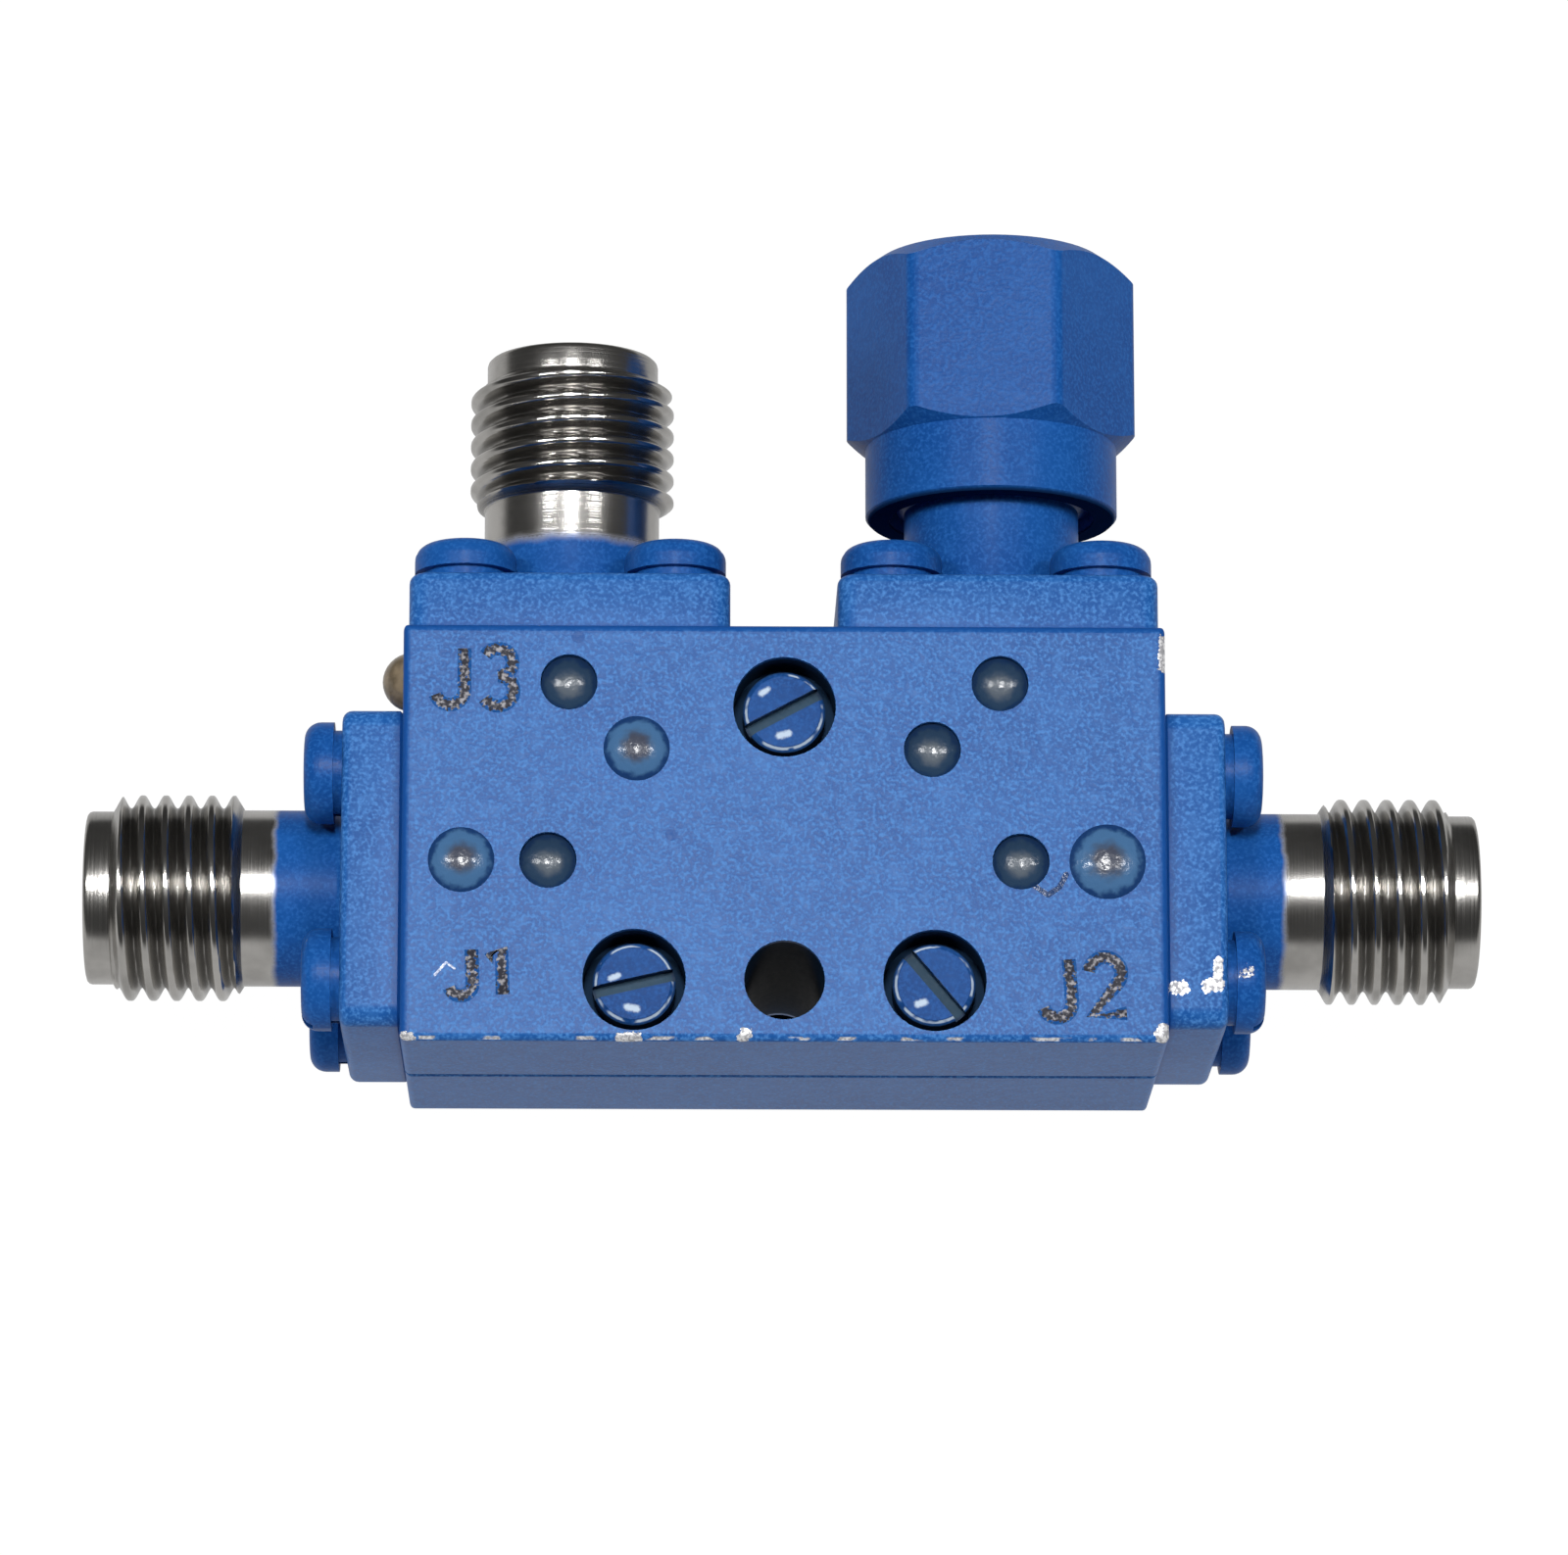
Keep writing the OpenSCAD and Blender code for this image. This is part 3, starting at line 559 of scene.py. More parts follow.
def nut_enamel():
    """Enamel on the nut, with painted shade on its rear end inside the gap."""
    graph = Graph("nut_enamel")
    # The darker copy of the case enamel, as painted shade
    colour, roughness, height = paint_parts(graph, NECK_SHADE_TONES)
    low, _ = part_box("load_nut")
    # Painted shade on the rear end, with no gloss
    dark = graph.fall(graph.math("SUBTRACT", graph.axis("Y"), low[1]), *NUT_SHADE)
    level = graph.range(dark, 0.0, 1.0, PAINT_LEVEL, 0.0)
    show_paint(graph, graph.mix(dark, colour, NUT_REAR_SHADE), roughness, height, level)
    return graph.material


def screw_enamel():
    """Enamel on the case screws, darker as painted shade: dirt and painted shade down in the slot, painted
    shade on the head's side, and painted highlights along the head's edges and in spots on its top.
    """
    graph = Graph("screw_enamel")
    colour, roughness, height = paint_parts(graph, HEAD_SHADE_TONES)
    _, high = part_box("housing_screws")
    (_, head_r), *_ = islands("housing_screws")
    down = graph.math("SUBTRACT", high[2], graph.axis("Z"))
    # Painted shade on the head's side down in the gap
    shaded_side = graph.rise(around(graph, "housing_screws"), head_r - SIDE_INSET[1], head_r - SIDE_INSET[0])
    shaded_side = graph.math("MULTIPLY", shaded_side, graph.rise(down, *SIDE_DEPTH))
    # Painted highlights along the head's and the slot's edges in broken runs, and in spots on the top
    off_edge = graph.math("ABSOLUTE", graph.math("SUBTRACT", down, GLINT_DEPTH * MM))
    broken = graph.range(graph.noise(GLINT_RUN_MM, detail=2), *GLINT_SPAN)
    edge = graph.math("MULTIPLY", graph.fall(off_edge, *GLINT_REACH), broken)
    spots = spot_mask(graph, HEAD_GLINTS, grain_mm=0.08, ragged=1.0, soft=0.5)
    # Dirt and painted shade down in the slot
    colour = graph.mix(graph.rise(down, *SLOT_DEPTH), colour, SLOT_DIRT_AND_SHADE)
    colour = graph.mix(shaded_side, colour, RECESS_SHADE)
    colour = graph.mix(graph.math("MAXIMUM", edge, spots), colour, HEAD_GLINT)
    show_paint(graph, colour, roughness, height, HEAD_LEVEL)
    return graph.material


def jack_finish(port):
    """Turned steel, painted over from the flange up to a line on the barrel that fades over a soft band."""
    graph = Graph(port + "_finish")
    reach = graph.attribute("reach")
    colour, roughness, height = paint_parts(graph)
    # The neck takes the darker copy of the enamel, as painted shade
    neck, _, _ = paint_parts(graph, NECK_SHADE_TONES)
    # Painted shade on the flange next to the case
    colour = graph.mix(graph.range(reach, *SEAT_BAND, 1.0, 0.0), colour, EDGE_SHADE)
    colour = graph.mix(graph.range(reach, *NECK_BAND), colour, neck)
    metallic = 0.0
    if port in FLANGE_CHIPS:
        chipped = spot_mask(graph, FLANGE_CHIPS[port], grain_mm=0.1)
        metal, metal_roughness = bare_metal(graph)
        colour = graph.mix(chipped, colour, metal)
        roughness = graph.mix(chipped, roughness, metal_roughness)
        metallic = graph.math("MULTIPLY", chipped, BARE_METALLIC)

    lines = graph.lines(reach, LATHE_MARKS)
    stain = graph.range(graph.noise(STAIN_MM, detail=3), *STAIN_SPAN, 0.0, STAIN_SHARE)
    # Painted shade in the thread's grooves
    groove_shade = graph.range(graph.attribute("groove"), *GROOVE_SPAN, 0.0, GROOVE_SHADE_SHARE)
    steel = graph.mix(graph.math("MAXIMUM", stain, groove_shade), STEEL, STEEL_DARK)
    above_start = graph.range(reach, *THREAD_RISE)
    below_end = graph.range(reach, *THREAD_FALL, 1.0, 0.0)
    threaded = graph.math("MULTIPLY", above_start, below_end)
    turned = graph.mix(threaded, graph.range(lines, *NOISE_SPAN, *TURNED_ROUGHNESS), THREAD_ROUGHNESS)
    steel_roughness = graph.mix(groove_shade, turned, GROOVE_ROUGHNESS)

    ragged = graph.math("SUBTRACT", graph.noise(PAINT_RUN_MM, detail=3), 0.5)
    ragged = graph.math("ADD", reach, graph.math("MULTIPLY", ragged, PAINT_RAGGED))
    end, fade = PAINT_END[port], PAINT_FADE[port]
    unpainted = graph.range(ragged, end - fade, end + fade)
    graph.set(
        Base_Color=graph.mix(unpainted, colour, steel),
        Roughness=graph.mix(unpainted, roughness, steel_roughness),
        Metallic=graph.math("MAXIMUM", unpainted, metallic),
        Normal=graph.bump(graph.mix(unpainted, height, lines), *LATHE_BUMP),
        Specular_IOR_Level=PAINT_LEVEL,
    )
    return graph.material


def plain(name, colour, roughness, metallic=0.0, tone=0.12):
    """A surface of one colour with a faint mottle and grain."""
    graph = Graph(name)
    mottle = graph.noise(PLAIN_GRAIN_MM, detail=3)
    darker = tuple((1 - tone) * c for c in colour)
    graph.set(
        Base_Color=graph.mix(graph.range(mottle, *NOISE_SPAN), colour, darker),
        Roughness=graph.range(mottle, *NOISE_SPAN, roughness, roughness + 0.1),
        Normal=graph.bump(mottle, *PLAIN_BUMP),
        Metallic=metallic,
    )
    return graph.material


def resin(name, node, roughness, rim, body, middle):
    """Poured clear resin over a set screw, drawn opaque and glossy: painted shade at its rim, painted light
    refracted in its body, and the screw seen through in its middle.
    """
    graph = Graph(name)
    shares = [graph.math("DIVIDE", away, radius * MM) for away, radius in axis_reaches(graph, node)]
    cloud = graph.noise(RESIN_CLOUD_MM, detail=3)
    shift = graph.math("MULTIPLY", graph.math("SUBTRACT", cloud, 0.5), RESIN_CLOUD_SHARE)
    nearest = graph.math("ADD", graph.least(shares), shift)
    # Painted light refracted in the body, and painted shade at the rim
    colour = graph.mix(graph.range(nearest, *RESIN_MIDDLE), middle, body)
    colour = graph.mix(graph.range(nearest, *RESIN_RIM), colour, rim)
    graph.set(
        Base_Color=colour,
        Roughness=roughness,
        Normal=graph.bump(cloud, *RESIN_BUMP),
        Specular_IOR_Level=RESIN_LEVEL,
    )
    return graph.material


def amber_resin():
    """The browned bead of resin on the side of the case."""
    graph = Graph("resin_amber")
    cloud = graph.noise(AMBER_CLOUD_MM, detail=3)
    tint = graph.mix(graph.range(cloud, *AMBER_SPAN), AMBER, AMBER_DARK)
    graph.set(Base_Color=tint, Roughness=RUN_ROUGHNESS, Normal=graph.bump(cloud, *AMBER_BUMP))
    return graph.material


def mark_finish():
    """Speckled grey ink whose ragged border shows the paint beside it."""
    graph = Graph("mark_ink")
    colour, roughness, height = paint_parts(graph)
    speckle = graph.math("MULTIPLY", graph.noise(SPECKLE_MM, detail=2), SPECKLE_SHARE)
    border = graph.math("MULTIPLY", graph.attribute("across"), BORDER_SHARE)
    inked = graph.range(graph.math("SUBTRACT", speckle, border), *INKED_SPAN)
    tone = graph.range(graph.noise(INK_TONE_MM, detail=3), *INK_TONE_SPAN)
    dented = graph.math("SUBTRACT", height, graph.math("MULTIPLY", inked, INK_DEPTH))
    graph.set(
        Base_Color=graph.mix(inked, colour, graph.mix(tone, INK, INK_PALE)),
        Roughness=graph.mix(inked, roughness, INK_ROUGHNESS),
        Normal=graph.bump(dented, *INK_BUMP),
        Specular_IOR_Level=PAINT_LEVEL,
    )
    return graph.material


def finish_mesh(name, bm, material, matrix):
    """Makes an object of a mesh in millimetres, placed by a matrix whose result is in millimetres."""
    mesh = bpy.data.meshes.new(name)
    bm.to_mesh(mesh)
    bm.free()
    mesh.transform(Matrix.Scale(MM, 4) @ matrix)
    mesh.shade_smooth()
    mesh.set_sharp_from_angle(angle=math.radians(SHARP_ANGLE))
    mesh.materials.append(material)
    piece = bpy.data.objects.new(name, mesh)
    bpy.context.scene.collection.objects.link(piece)
    return piece


def ring(bm, points):
    return [bm.verts.new(p) for p in points]


def bridge(bm, a, b):
    """Joins two closed rings of as many points by quads."""
    count = len(a)
    for i in range(count):
        j = (i + 1) % count
        bm.faces.new((a[i], a[j], b[j], b[i]))


def fill_between(bm, rings):
    """Fills a flat area that has one ring around it and the other rings as holes."""
    edges = []
    for loop in rings:
        for i, vert in enumerate(loop):
            after = loop[(i + 1) % len(loop)]
            edges.append(bm.edges.get((vert, after)))
    bmesh.ops.triangle_fill(bm, use_beauty=True, use_dissolve=False, edges=edges)


def circle(radius, z, steps, centre=(0, 0)):
    angles = [i * 2 * math.pi / steps for i in range(steps)]
    return [(centre[0] + radius * math.cos(a), centre[1] + radius * math.sin(a), z) for a in angles]


def rounded_square(half, radius, z):
    """Points of a square with rounded corners, anticlockwise."""
    points = []
    reach = (half - radius) * math.sqrt(2)
    for corner in range(4):
        start = corner * math.pi / 2
        cx = reach * math.cos(start + math.pi / 4)
        cy = reach * math.sin(start + math.pi / 4)
        for i in range(CORNER_STEPS + 1):
            angle = start + i / CORNER_STEPS * math.pi / 2
            points.append((cx + radius * math.cos(angle), cy + radius * math.sin(angle), z))
    return points


def quarter_turn(steps):
    """Sine and cosine along a quarter turn."""
    return [(math.sin(i / steps * math.pi / 2), math.cos(i / steps * math.pi / 2)) for i in range(steps + 1)]


def thread_radius(z, angle, crest_r):
    """Radius of the cut thread at a height above its start, with a cone at each end.

    A crest passes the front of the barrel where its first full ridge is, just below the cone at the tip.
    """
    first_crest = THREAD_L - THREAD_CONE - CREST_W / 2
    turns = (first_crest - z) / PITCH + (angle - math.pi / 2) / (2 * math.pi)
    away = abs(turns - round(turns)) * PITCH
    share = max(0.0, away - CREST_W / 2) / (PITCH / 2 - CREST_W / 2)
    cut = THREAD_DEPTH * share * share * (3 - 2 * share)
    start_cone = NECK_R + z / THREAD_CONE * (crest_r - NECK_R)
    end_cone = LEAD_R + (THREAD_L - z) / THREAD_CONE * (crest_r - LEAD_R)
    return min(crest_r - cut, start_cone, end_cone)


def barrel_rows(crest_r, mouth_r, mouth_z, barrel_l):
    """Rings of the barrel from the flange's face, over the thread and the tip, down to the flange's seat."""
    rows = []
    for s, c in quarter_turn(FILLET_STEPS):
        rows.append(circle(NECK_R + NECK_FILLET * (1 - s), FLANGE_T + NECK_FILLET * (1 - c), TURN_STEPS))
    count = round(THREAD_L / PITCH * ROWS_PER_PITCH)
    for i in range(count + 1):
        z = i / count * THREAD_L
        row = []
        for k in range(TURN_STEPS):
            angle = k * 2 * math.pi / TURN_STEPS
            radius = thread_radius(z, angle, crest_r)
            row.append((radius * math.cos(angle), radius * math.sin(angle), THREAD_START + z))
        rows.append(row)
    for s, c in quarter_turn(TIP_STEPS):
        rows.append(circle(LEAD_R - TIP_EASE * (1 - c), barrel_l - TIP_EASE * (1 - s), TURN_STEPS))
    for s, c in quarter_turn(TIP_STEPS):
        rows.append(circle(mouth_r + MOUTH_EASE * (1 - s), barrel_l - MOUTH_EASE * (1 - c), TURN_STEPS))
    for radius, z in ((mouth_r, mouth_z), (BORE_R, mouth_z), (BORE_R, 0)):
        rows.append(circle(radius, z, TURN_STEPS))
    return rows


def flange_rows(half):
    """Rings around the flange from its seat to its face, with eased edges."""
    rows = [rounded_square(half - SEAT_EASE, FLANGE_R - SEAT_EASE, 0)]
    rows.append(rounded_square(half, FLANGE_R, SEAT_EASE))
    for s, c in quarter_turn(EASE_STEPS):
        inset = FLANGE_EASE * (1 - c)
        rows.append(rounded_square(half - inset, FLANGE_R - inset, FLANGE_T - FLANGE_EASE * (1 - s)))
    return rows


def jack_place(port):
    """Matrix from a jack's own axes, with Z outwards and Y to the front, its length and half its flange."""
    low, high = (Vector(corner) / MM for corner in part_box(port + "_jack"))
    outward = Vector(PORTS[port])
    front = Vector((0, 0, 1))
    length = abs((high - low).dot(outward))
    half = (high - low).dot(front) / 2
    matrix = Matrix((front.cross(outward), front, outward)).transposed().to_4x4()
    matrix.translation = (low + high) / 2 - outward * length / 2
    return matrix, length, half


def threaded_jack(port):
    """One jack with its cut thread, which stands for the solid of the frame."""
    matrix, barrel_l, half = jack_place(port)
    crest_r = MOUNTS["input_thread"]["r_mm"]
    mouth = MOUNTS["input_mouth"]
    bm = bmesh.new()

    barrel = barrel_rows(crest_r, mouth["r_mm"], barrel_l - mouth["length_mm"], barrel_l)
    barrel = [ring(bm, row) for row in barrel]
    flange = [ring(bm, row) for row in flange_rows(half)]
    for rows in (barrel, flange):
        for a, b in zip(rows, rows[1:]):
            bridge(bm, a, b)

    seat_holes, face_holes = [], []
    for x in (-SCREW_PITCH / 2, SCREW_PITCH / 2):
        for y in (-SCREW_PITCH / 2, SCREW_PITCH / 2):
            seat_holes.append(ring(bm, circle(SCREW_HOLE_R, 0, HOLE_STEPS, (x, y))))
            face_holes.append(ring(bm, circle(SCREW_HOLE_R, FLANGE_T, HOLE_STEPS, (x, y))))
            bridge(bm, seat_holes[-1], face_holes[-1])
    fill_between(bm, [flange[-1], barrel[0], *face_holes])
    fill_between(bm, [flange[0], barrel[-1], *seat_holes])
    bmesh.ops.recalc_face_normals(bm, faces=bm.faces)

    reach = bm.verts.layers.float.new("reach")
    groove = bm.verts.layers.float.new("groove")
    for vert in bm.verts:
        vert[reach] = vert.co.z
        threaded = THREAD_START < vert.co.z < THREAD_END
        depth = crest_r - math.hypot(vert.co.x, vert.co.y)
        vert[groove] = depth / THREAD_DEPTH if threaded and depth < 2 * THREAD_DEPTH else 0.0
    piece = finish_mesh(port + "_threaded_jack", bm, jack_finish(port), matrix)
    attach(piece, "root")
    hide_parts(port + "_jack")


def arc(cx, cy, radius, start, end, steps=14):
    """Points of an arc, with its angles in degrees."""
    angles = [math.radians(start + (end - start) * i / steps) for i in range(steps + 1)]
    return [(cx + radius * math.cos(a), cy + radius * math.sin(a)) for a in angles]


# Strokes of each sign, one unit tall, its width and the gap to the next
SIGNS = {
    "J": [[(0.52, 1.0), *arc(0.27, 0.25, 0.25, 0, -165)]],
    "1": [[(0.06, 0.78), (0.34, 1.0), (0.34, 0.0)]],
    "2": [[*arc(0.30, 0.72, 0.28, 170, -38), (0.03, 0.0), (0.62, 0.0)]],
    "3": [[*arc(0.28, 0.75, 0.25, 150, -90)], [*arc(0.28, 0.25, 0.27, 88, -150)]],
}
SIGN_WIDTH = {"J": 0.62, "1": 0.42, "2": 0.66, "3": 0.62}
SIGN_GAP = 0.20

# Ink, in millimetres: width of a stroke, thickness, and how far it stands out of the face
STROKE_W = 0.42
INK_T = 0.02
INK_PROUD = 0.008

# Port marks: text, place from the front's middle and height in millimetres, and turn in degrees
MARKS = {
    "mark_coupled": ("J3", (-9.3, 4.75), 1.75, 0),
    "mark_input": ("J1", (-9.2, -4.35), 1.4, 2),
    "mark_output": ("J2", (8.95, -4.75), 1.75, 4),
}


def stroke_ribbon(bm, across, points, z):
    """A flat ribbon along a stroke, with a middle line so that its border can be told from its middle."""
    rows = []
    for i, point in enumerate(points):
        before = Vector(points[max(i - 1, 0)])
        after = Vector(points[min(i + 1, len(points) - 1)])
        way = (after - before).normalized()
        row = []
        for share in (-1, 0, 1):
            offset = share * STROKE_W / 2
            vert = bm.verts.new((point[0] - way.y * offset, point[1] + way.x * offset, z))
            vert[across] = abs(share)
            row.append(vert)
        rows.append(row)
    for a, b in zip(rows, rows[1:]):
        for k in (0, 1):
            bm.faces.new((a[k], b[k], b[k + 1], a[k + 1]))


def port_mark(name, material):
    """A port's number in ink on the front face."""
    text, middle, height, turn_deg = MARKS[name]
    bm = bmesh.new()
    across = bm.verts.layers.float.new("across")
    total = sum(SIGN_WIDTH[sign] for sign in text) + SIGN_GAP * (len(text) - 1)
    left = -total / 2
    for sign in text:
        for layer, stroke in enumerate(SIGNS[sign]):
            points = [((left + x) * height, (y - 0.5) * height) for x, y in stroke]
            stroke_ribbon(bm, across, points, layer * INK_PROUD / 2)
        left += SIGN_WIDTH[sign] + SIGN_GAP
    place = FRONT_MIDDLE + Vector((*middle, INK_PROUD))
    matrix = Matrix.Translation(place) @ Matrix.Rotation(math.radians(turn_deg), 4, "Z")
    piece = finish_mesh(name, bm, material, matrix)
    thick = piece.modifiers.new("thickness", "SOLIDIFY")
    thick.thickness = INK_T * MM
    thick.offset = -1
    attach(piece, "root")


def dress(node, material, ease_mm=0.0):
    """Gives a solid of the frame its finish, and eases its sharp edges."""
    piece = frame["nodes"][node]
    piece.data.materials.clear()
    piece.data.materials.append(material)
    if ease_mm:
        ease = piece.modifiers.new("ease", "BEVEL")
        ease.width = ease_mm * MM
        ease.segments = EASE_SEGMENTS
        ease.limit_method = "ANGLE"
        ease.angle_limit = math.radians(EASE_ANGLE)


# Heights of the flanges' front edges and of the case screws' heads, in millimetres
FLANGE_FRONT_Z = 10.47
HEAD_Z = 10.6

# Wear on the paint, and painted highlights on the case screws' heads: two ends of each stroke, in
# millimetres, and its radius
CASE_CHIPS = [
    ((-4.85, BODY_LOW.y, FRONT_Z), (-4.45, BODY_LOW.y, FRONT_Z), 0.26),
    ((-1.25, BODY_LOW.y, FRONT_Z), (-1.15, BODY_LOW.y + 0.2, FRONT_Z), 0.22),
    ((-11.5, BODY_LOW.y, FRONT_Z), (-11.2, BODY_LOW.y, FRONT_Z), 0.24),
    ((11.5, BODY_LOW.y, FRONT_Z), (11.35, BODY_LOW.y + 0.25, FRONT_Z), 0.34),
    ((11.5, 9.7, FRONT_Z), (11.5, 10.5, FRONT_Z), 0.24),
]
SCRATCHES = [
    ((-10.45, 0.12, FRONT_Z), (-10.12, 0.5, FRONT_Z), 0.045),
    ((-10.12, 0.5, FRONT_Z), (-9.85, 0.3, FRONT_Z), 0.035),
]
CASE_NICKS = [
    ((-3.4, 4.43, FRONT_Z), (-3.4, 4.43, FRONT_Z), 0.2),
    ((-6.23, 10.55, FRONT_Z), (-6.23, 10.55, FRONT_Z), 0.22),
]
RESIN_RUN = [
    ((7.5, 2.9, FRONT_Z), (7.9, 2.62, FRONT_Z), 0.09),
    ((7.9, 2.62, FRONT_Z), (8.25, 2.86, FRONT_Z), 0.09),
    ((8.25, 2.86, FRONT_Z), (8.45, 3.25, FRONT_Z), 0.09),
]
# Painted highlights on the case screws' heads
HEAD_GLINTS = [
    ((-5.2, 0.15, HEAD_Z), (-4.98, 0.24, HEAD_Z), 0.09),
    ((-4.7, -0.72, HEAD_Z), (-4.42, -0.78, HEAD_Z), 0.11),
    ((-0.15, 7.65, HEAD_Z), (0.12, 7.72, HEAD_Z), 0.11),
    ((-0.7, 8.95, HEAD_Z), (-0.5, 9.08, HEAD_Z), 0.09),
    ((4.0, -0.6, HEAD_Z), (4.2, -0.55, HEAD_Z), 0.11),
]
FLANGE_CHIPS = {
    "input": [((-13.5, -0.9, FLANGE_FRONT_Z), (-13.25, -1.15, FLANGE_FRONT_Z - 0.1), 0.13)],
    "output": [
        ((11.75, -0.05, FLANGE_FRONT_Z), (11.95, -0.05, FLANGE_FRONT_Z), 0.24),
        ((12.75, 0.0, FLANGE_FRONT_Z), (13.0, 0.05, FLANGE_FRONT_Z), 0.24),
        ((13.0, 0.1, FLANGE_FRONT_Z), (13.05, 0.75, FLANGE_FRONT_Z), 0.16),
    ],
}
SCREW_CHIPS = [((13.85, 0.42, 10.1), (13.95, 0.5, 10.1), 0.3)]


def make_looks():
    """Dresses every solid, and adds the threaded jacks and the ink marks."""
    paint = case_paint()
    deep_enamel = enamel("deep_enamel")
    chipped = enamel("chipped_enamel", SCREW_CHIPS)
    steel = plain("turned_steel", STEEL, roughness=0.2, metallic=1.0)
    gold = plain("gold_plate", GOLD, roughness=0.18, metallic=1.0)
    ptfe = plain("ptfe", PTFE, roughness=0.42, tone=0.05)
    copper = plain("copper", COPPER, roughness=0.3, metallic=1.0)
    dress("front_housing", paint, ease_mm=0.06)
    dress("rear_housing", paint, ease_mm=0.06)
    dress("housing_screws", screw_enamel(), ease_mm=0.05)
    dress("load_nut", nut_enamel(), ease_mm=0.08)
    dress("load_body", deep_enamel, ease_mm=0.07)
    for port in PORTS:
        dress(port + "_screws", chipped if port == "output" else deep_enamel, ease_mm=0.04)
        dress(port + "_washers", deep_enamel, ease_mm=0.04)
        dress(port + "_bead", ptfe, ease_mm=0.03)
        dress(port + "_contact", gold, ease_mm=0.02)
    for node in ("upper_board", "lower_board", "load_bead"):
        dress(node, ptfe)
    for node in ("main_line", "coupled_line"):
        dress(node, copper)
    dress("trim_screws", steel)
    dress("load_pin", gold)
    dress("load_gasket", plain("gasket", RUBBER, roughness=0.6))
    dress("load_resistor", plain("resistor", CERAMIC, roughness=0.5))
    dress("resin_domes", resin("resin_proud", "resin_domes", 0.22, DOME_RIM, DOME_BODY, DOME_MIDDLE))
    dress("resin_fills", resin("resin_sunk", "resin_fills", 0.24, FILL_RIM, FILL_BODY, FILL_MIDDLE))
    dress("side_resin", amber_resin())
    for port in PORTS:
        threaded_jack(port)
    ink = mark_finish()
    for name in MARKS:
        port_mark(name, ink)


# The camera, fitted to the photograph: where it stands and how its frame lies on the front face
CAMERA_TILT = math.radians(13.157)
CAMERA_YAW = math.radians(0.933)
CAMERA_DISTANCE = 241.4
CAMERA_ASIDE = (0.017, -1.618)
CAMERA_LENS = 184.6
CAMERA_CLIP = (0.01, 20)
SENSOR_W = 36.0


def make_camera():
    """The camera of the photograph."""
    sin_t, cos_t = math.sin(CAMERA_TILT), math.cos(CAMERA_TILT)
    sin_y, cos_y = math.sin(CAMERA_YAW), math.cos(CAMERA_YAW)
    right = Vector((cos_y, 0, sin_y))
    up = Vector((-sin_t * sin_y, cos_t, sin_t * cos_y))
    back = right.cross(up)
    eye = FRONT_MIDDLE + back * CAMERA_DISTANCE - right * CAMERA_ASIDE[0] - up * CAMERA_ASIDE[1]
    data = bpy.data.cameras.new("camera")
    data.lens = CAMERA_LENS
    data.sensor_width = SENSOR_W
    data.sensor_fit = "HORIZONTAL"
    data.clip_start, data.clip_end = CAMERA_CLIP
    camera = bpy.data.objects.new("camera", data)
    camera.matrix_world = Matrix.Translation(eye * MM) @ Matrix((right, up, back)).transposed().to_4x4()
    bpy.context.scene.collection.objects.link(camera)
    bpy.context.scene.camera = camera


# Upright strip lights over the part: angle to the right and upwards of its front, sides in metres, and watts
LIGHT_DISTANCE = 0.42
LIGHTS = [
    ("light_middle", -1, 7, 0.03, 0.10, 1.2),
    ("light_left", -28, 7, 0.025, 0.09, 0.5),
    ("light_right", 28, 7, 0.025, 0.09, 0.5),
]

# Square lights level with the front face, which fill the sides and show in no reflection: direction and watts
FILL_SIDE = 0.1
FILLS = [
    ("fill_left", (-1, 0, 0), 0.35),
    ("fill_right", (1, 0, 0), 0.35),
    ("fill_upper", (0, 1, 0), 0.35),
    ("fill_lower", (0, -1, 0), 0.22),
]


def add_light(name, way, width, height, power):
    """A rectangular light in a direction from the middle of the front face."""
    data = bpy.data.lights.new(name, "AREA")
    data.shape = "RECTANGLE"
    data.size = width
    data.size_y = height
    data.energy = power
    light = bpy.data.objects.new(name, data)
    light.location = FRONT_MIDDLE * MM + way * LIGHT_DISTANCE
    light.rotation_euler = way.to_track_quat("Z", "Y").to_euler()
    bpy.context.scene.collection.objects.link(light)
    return light


def make_lights():
    """The strip lights over the front, and the lights that fill the sides."""
    for name, aside, up, width, height, power in LIGHTS:
        way = Vector((math.tan(math.radians(aside)), math.tan(math.radians(up)), 1)).normalized()
        add_light(name, way, width, height, power)
    for name, way, power in FILLS:
        light = add_light(name, Vector(way), FILL_SIDE, FILL_SIDE, power)
        light.visible_glossy = False
        light.visible_camera = False


# The world's darker side, and its strength along that direction: from, to, and the strength at each
WORLD_WAY = (0, 0.42, 0.907)
WORLD_RAMP = (-0.15, 0.06, 0.60, 0.06)


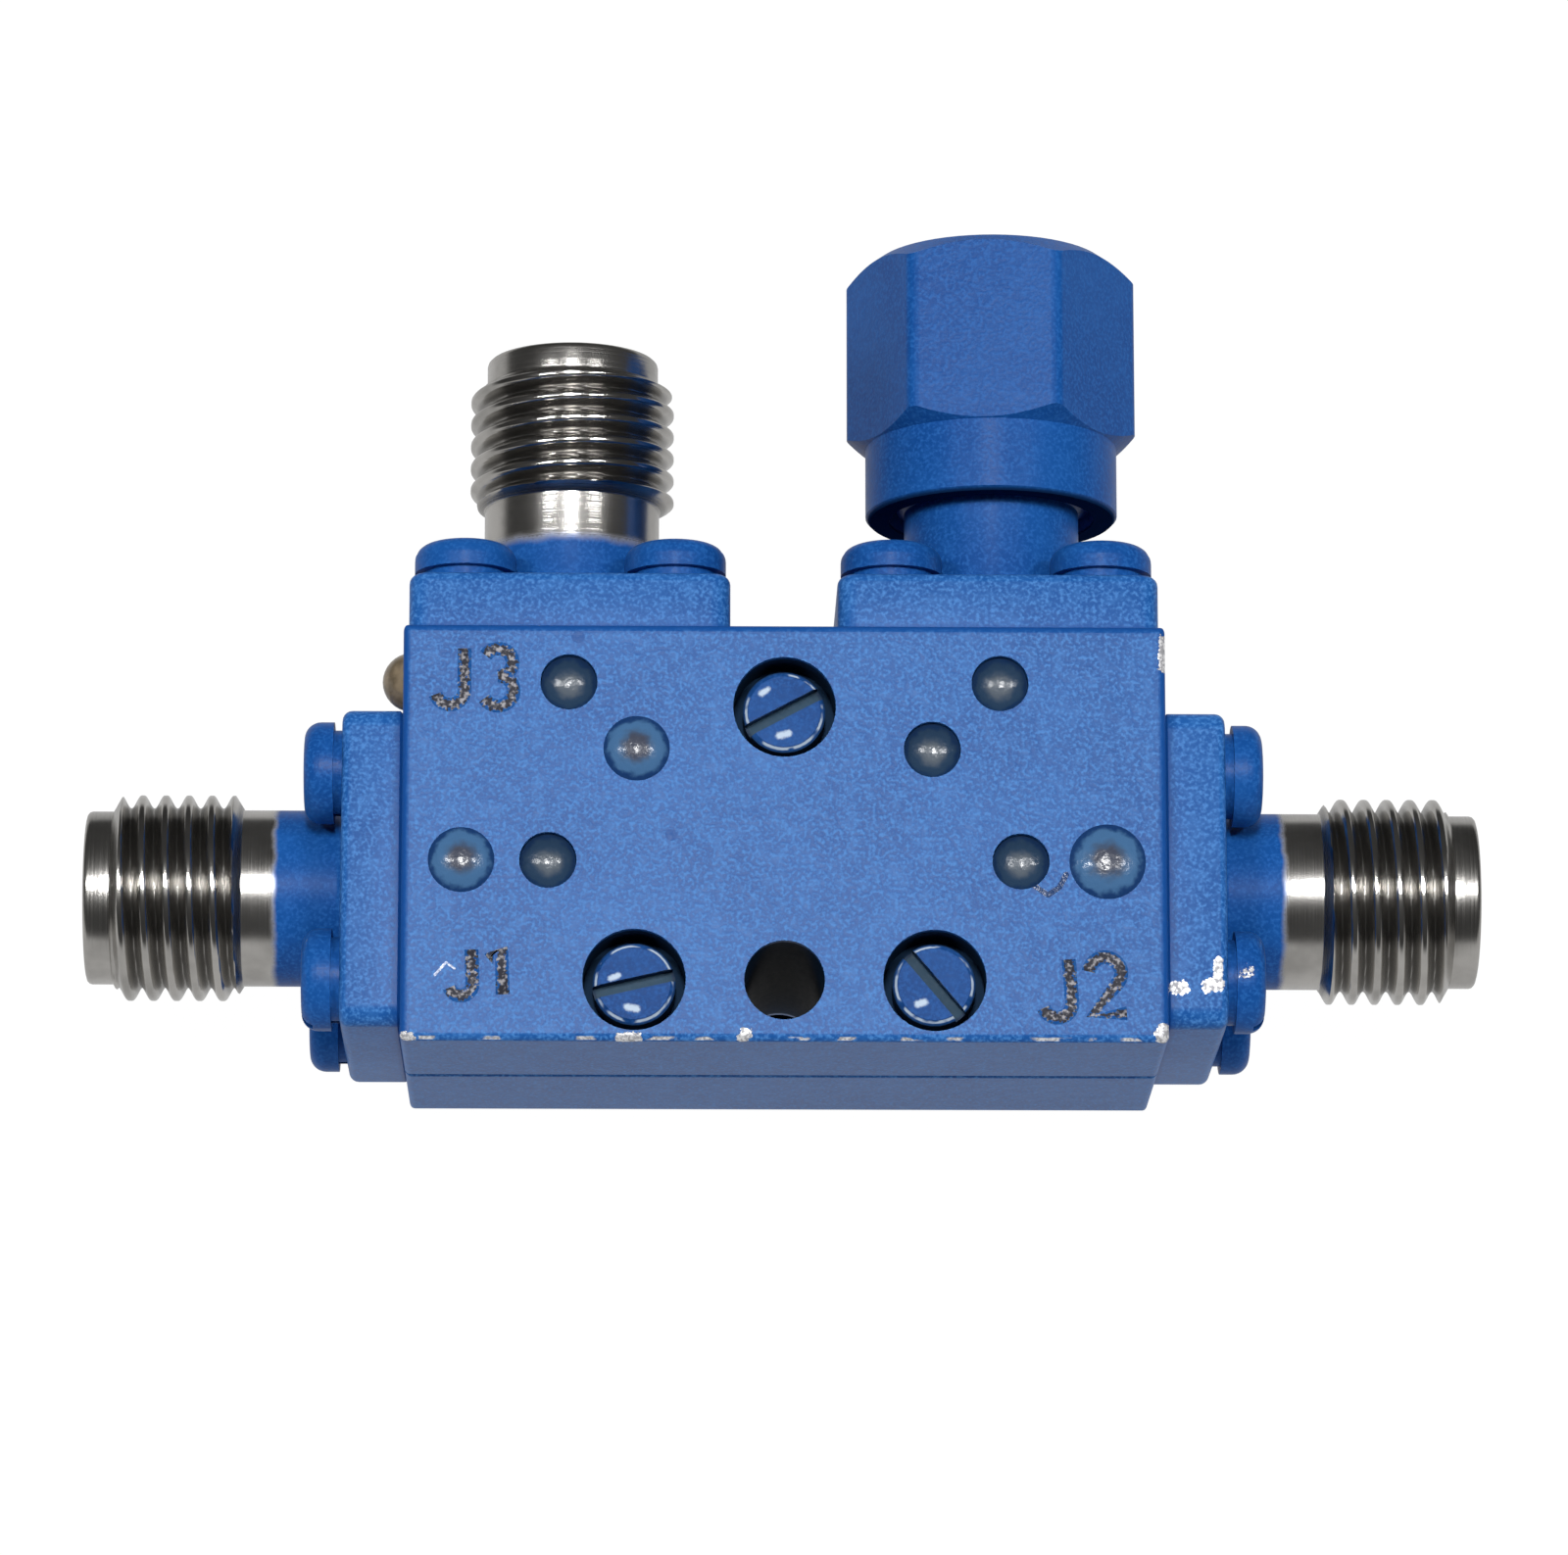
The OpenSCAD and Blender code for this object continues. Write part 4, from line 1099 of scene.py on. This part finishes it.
def make_world():
    """Pale under the part and past its lower edge, and dark over its front and past its upper edge."""
    world = bpy.data.worlds.new("studio")
    world.use_nodes = True
    tree = world.node_tree
    background = next(n for n in tree.nodes if n.type == "BACKGROUND")
    place = tree.nodes.new("ShaderNodeTexCoord")
    rise = tree.nodes.new("ShaderNodeVectorMath")
    rise.operation = "DOT_PRODUCT"
    rise.inputs[1].default_value = WORLD_WAY
    ramp = tree.nodes.new("ShaderNodeMapRange")
    set_ramp(ramp, WORLD_RAMP)
    tree.links.new(place.outputs["Generated"], rise.inputs[0])
    tree.links.new(rise.outputs["Value"], ramp.inputs["Value"])
    tree.links.new(ramp.outputs["Result"], background.inputs["Strength"])
    background.inputs["Color"].default_value = (1, 1, 1, 1)
    bpy.context.scene.world = world


# The floor: its gap below the case and its painted shadow under the mounting hole in millimetres, and the
# backdrop's radius in metres
FLOOR_GAP = 0.01
FLOOR_SHADOW = (1.25, 1.4)
BACKDROP_R = 0.8
BACKDROP_STEPS = (48, 24)


def make_floor():
    """A bright bench and backdrop, with a painted shadow only under the mounting hole, that throw no light on
    the part.
    """
    mesh = bpy.data.meshes.new("floor")
    bm = bmesh.new()
    turns, rows = BACKDROP_STEPS
    bmesh.ops.create_grid(bm, x_segments=1, y_segments=1, size=BACKDROP_R)
    bmesh.ops.create_uvsphere(bm, u_segments=turns, v_segments=rows, radius=BACKDROP_R)
    bm.to_mesh(mesh)
    bm.free()
    graph = Graph("floor_paper")
    # The glow fades out to a painted shadow under the mounting hole
    glow = graph.rise(graph.vector("LENGTH", graph.place, output="Value"), *FLOOR_SHADOW)
    graph.set(Base_Color=FLOOR, Roughness=0.9, Specular_IOR_Level=0.0)
    graph.set(Emission_Color=(1.0, 1.0, 1.0), Emission_Strength=glow)
    mesh.materials.append(graph.material)
    floor = bpy.data.objects.new("floor", mesh)
    floor.location.z = cad_box[0][2] - FLOOR_GAP * MM
    floor.visible_diffuse = False
    floor.visible_glossy = False
    floor.visible_shadow = False
    bpy.context.scene.collection.objects.link(floor)


make_camera()
make_looks()
make_lights()
make_world()
make_floor()
bpy.context.scene.view_settings.view_transform = "Standard"
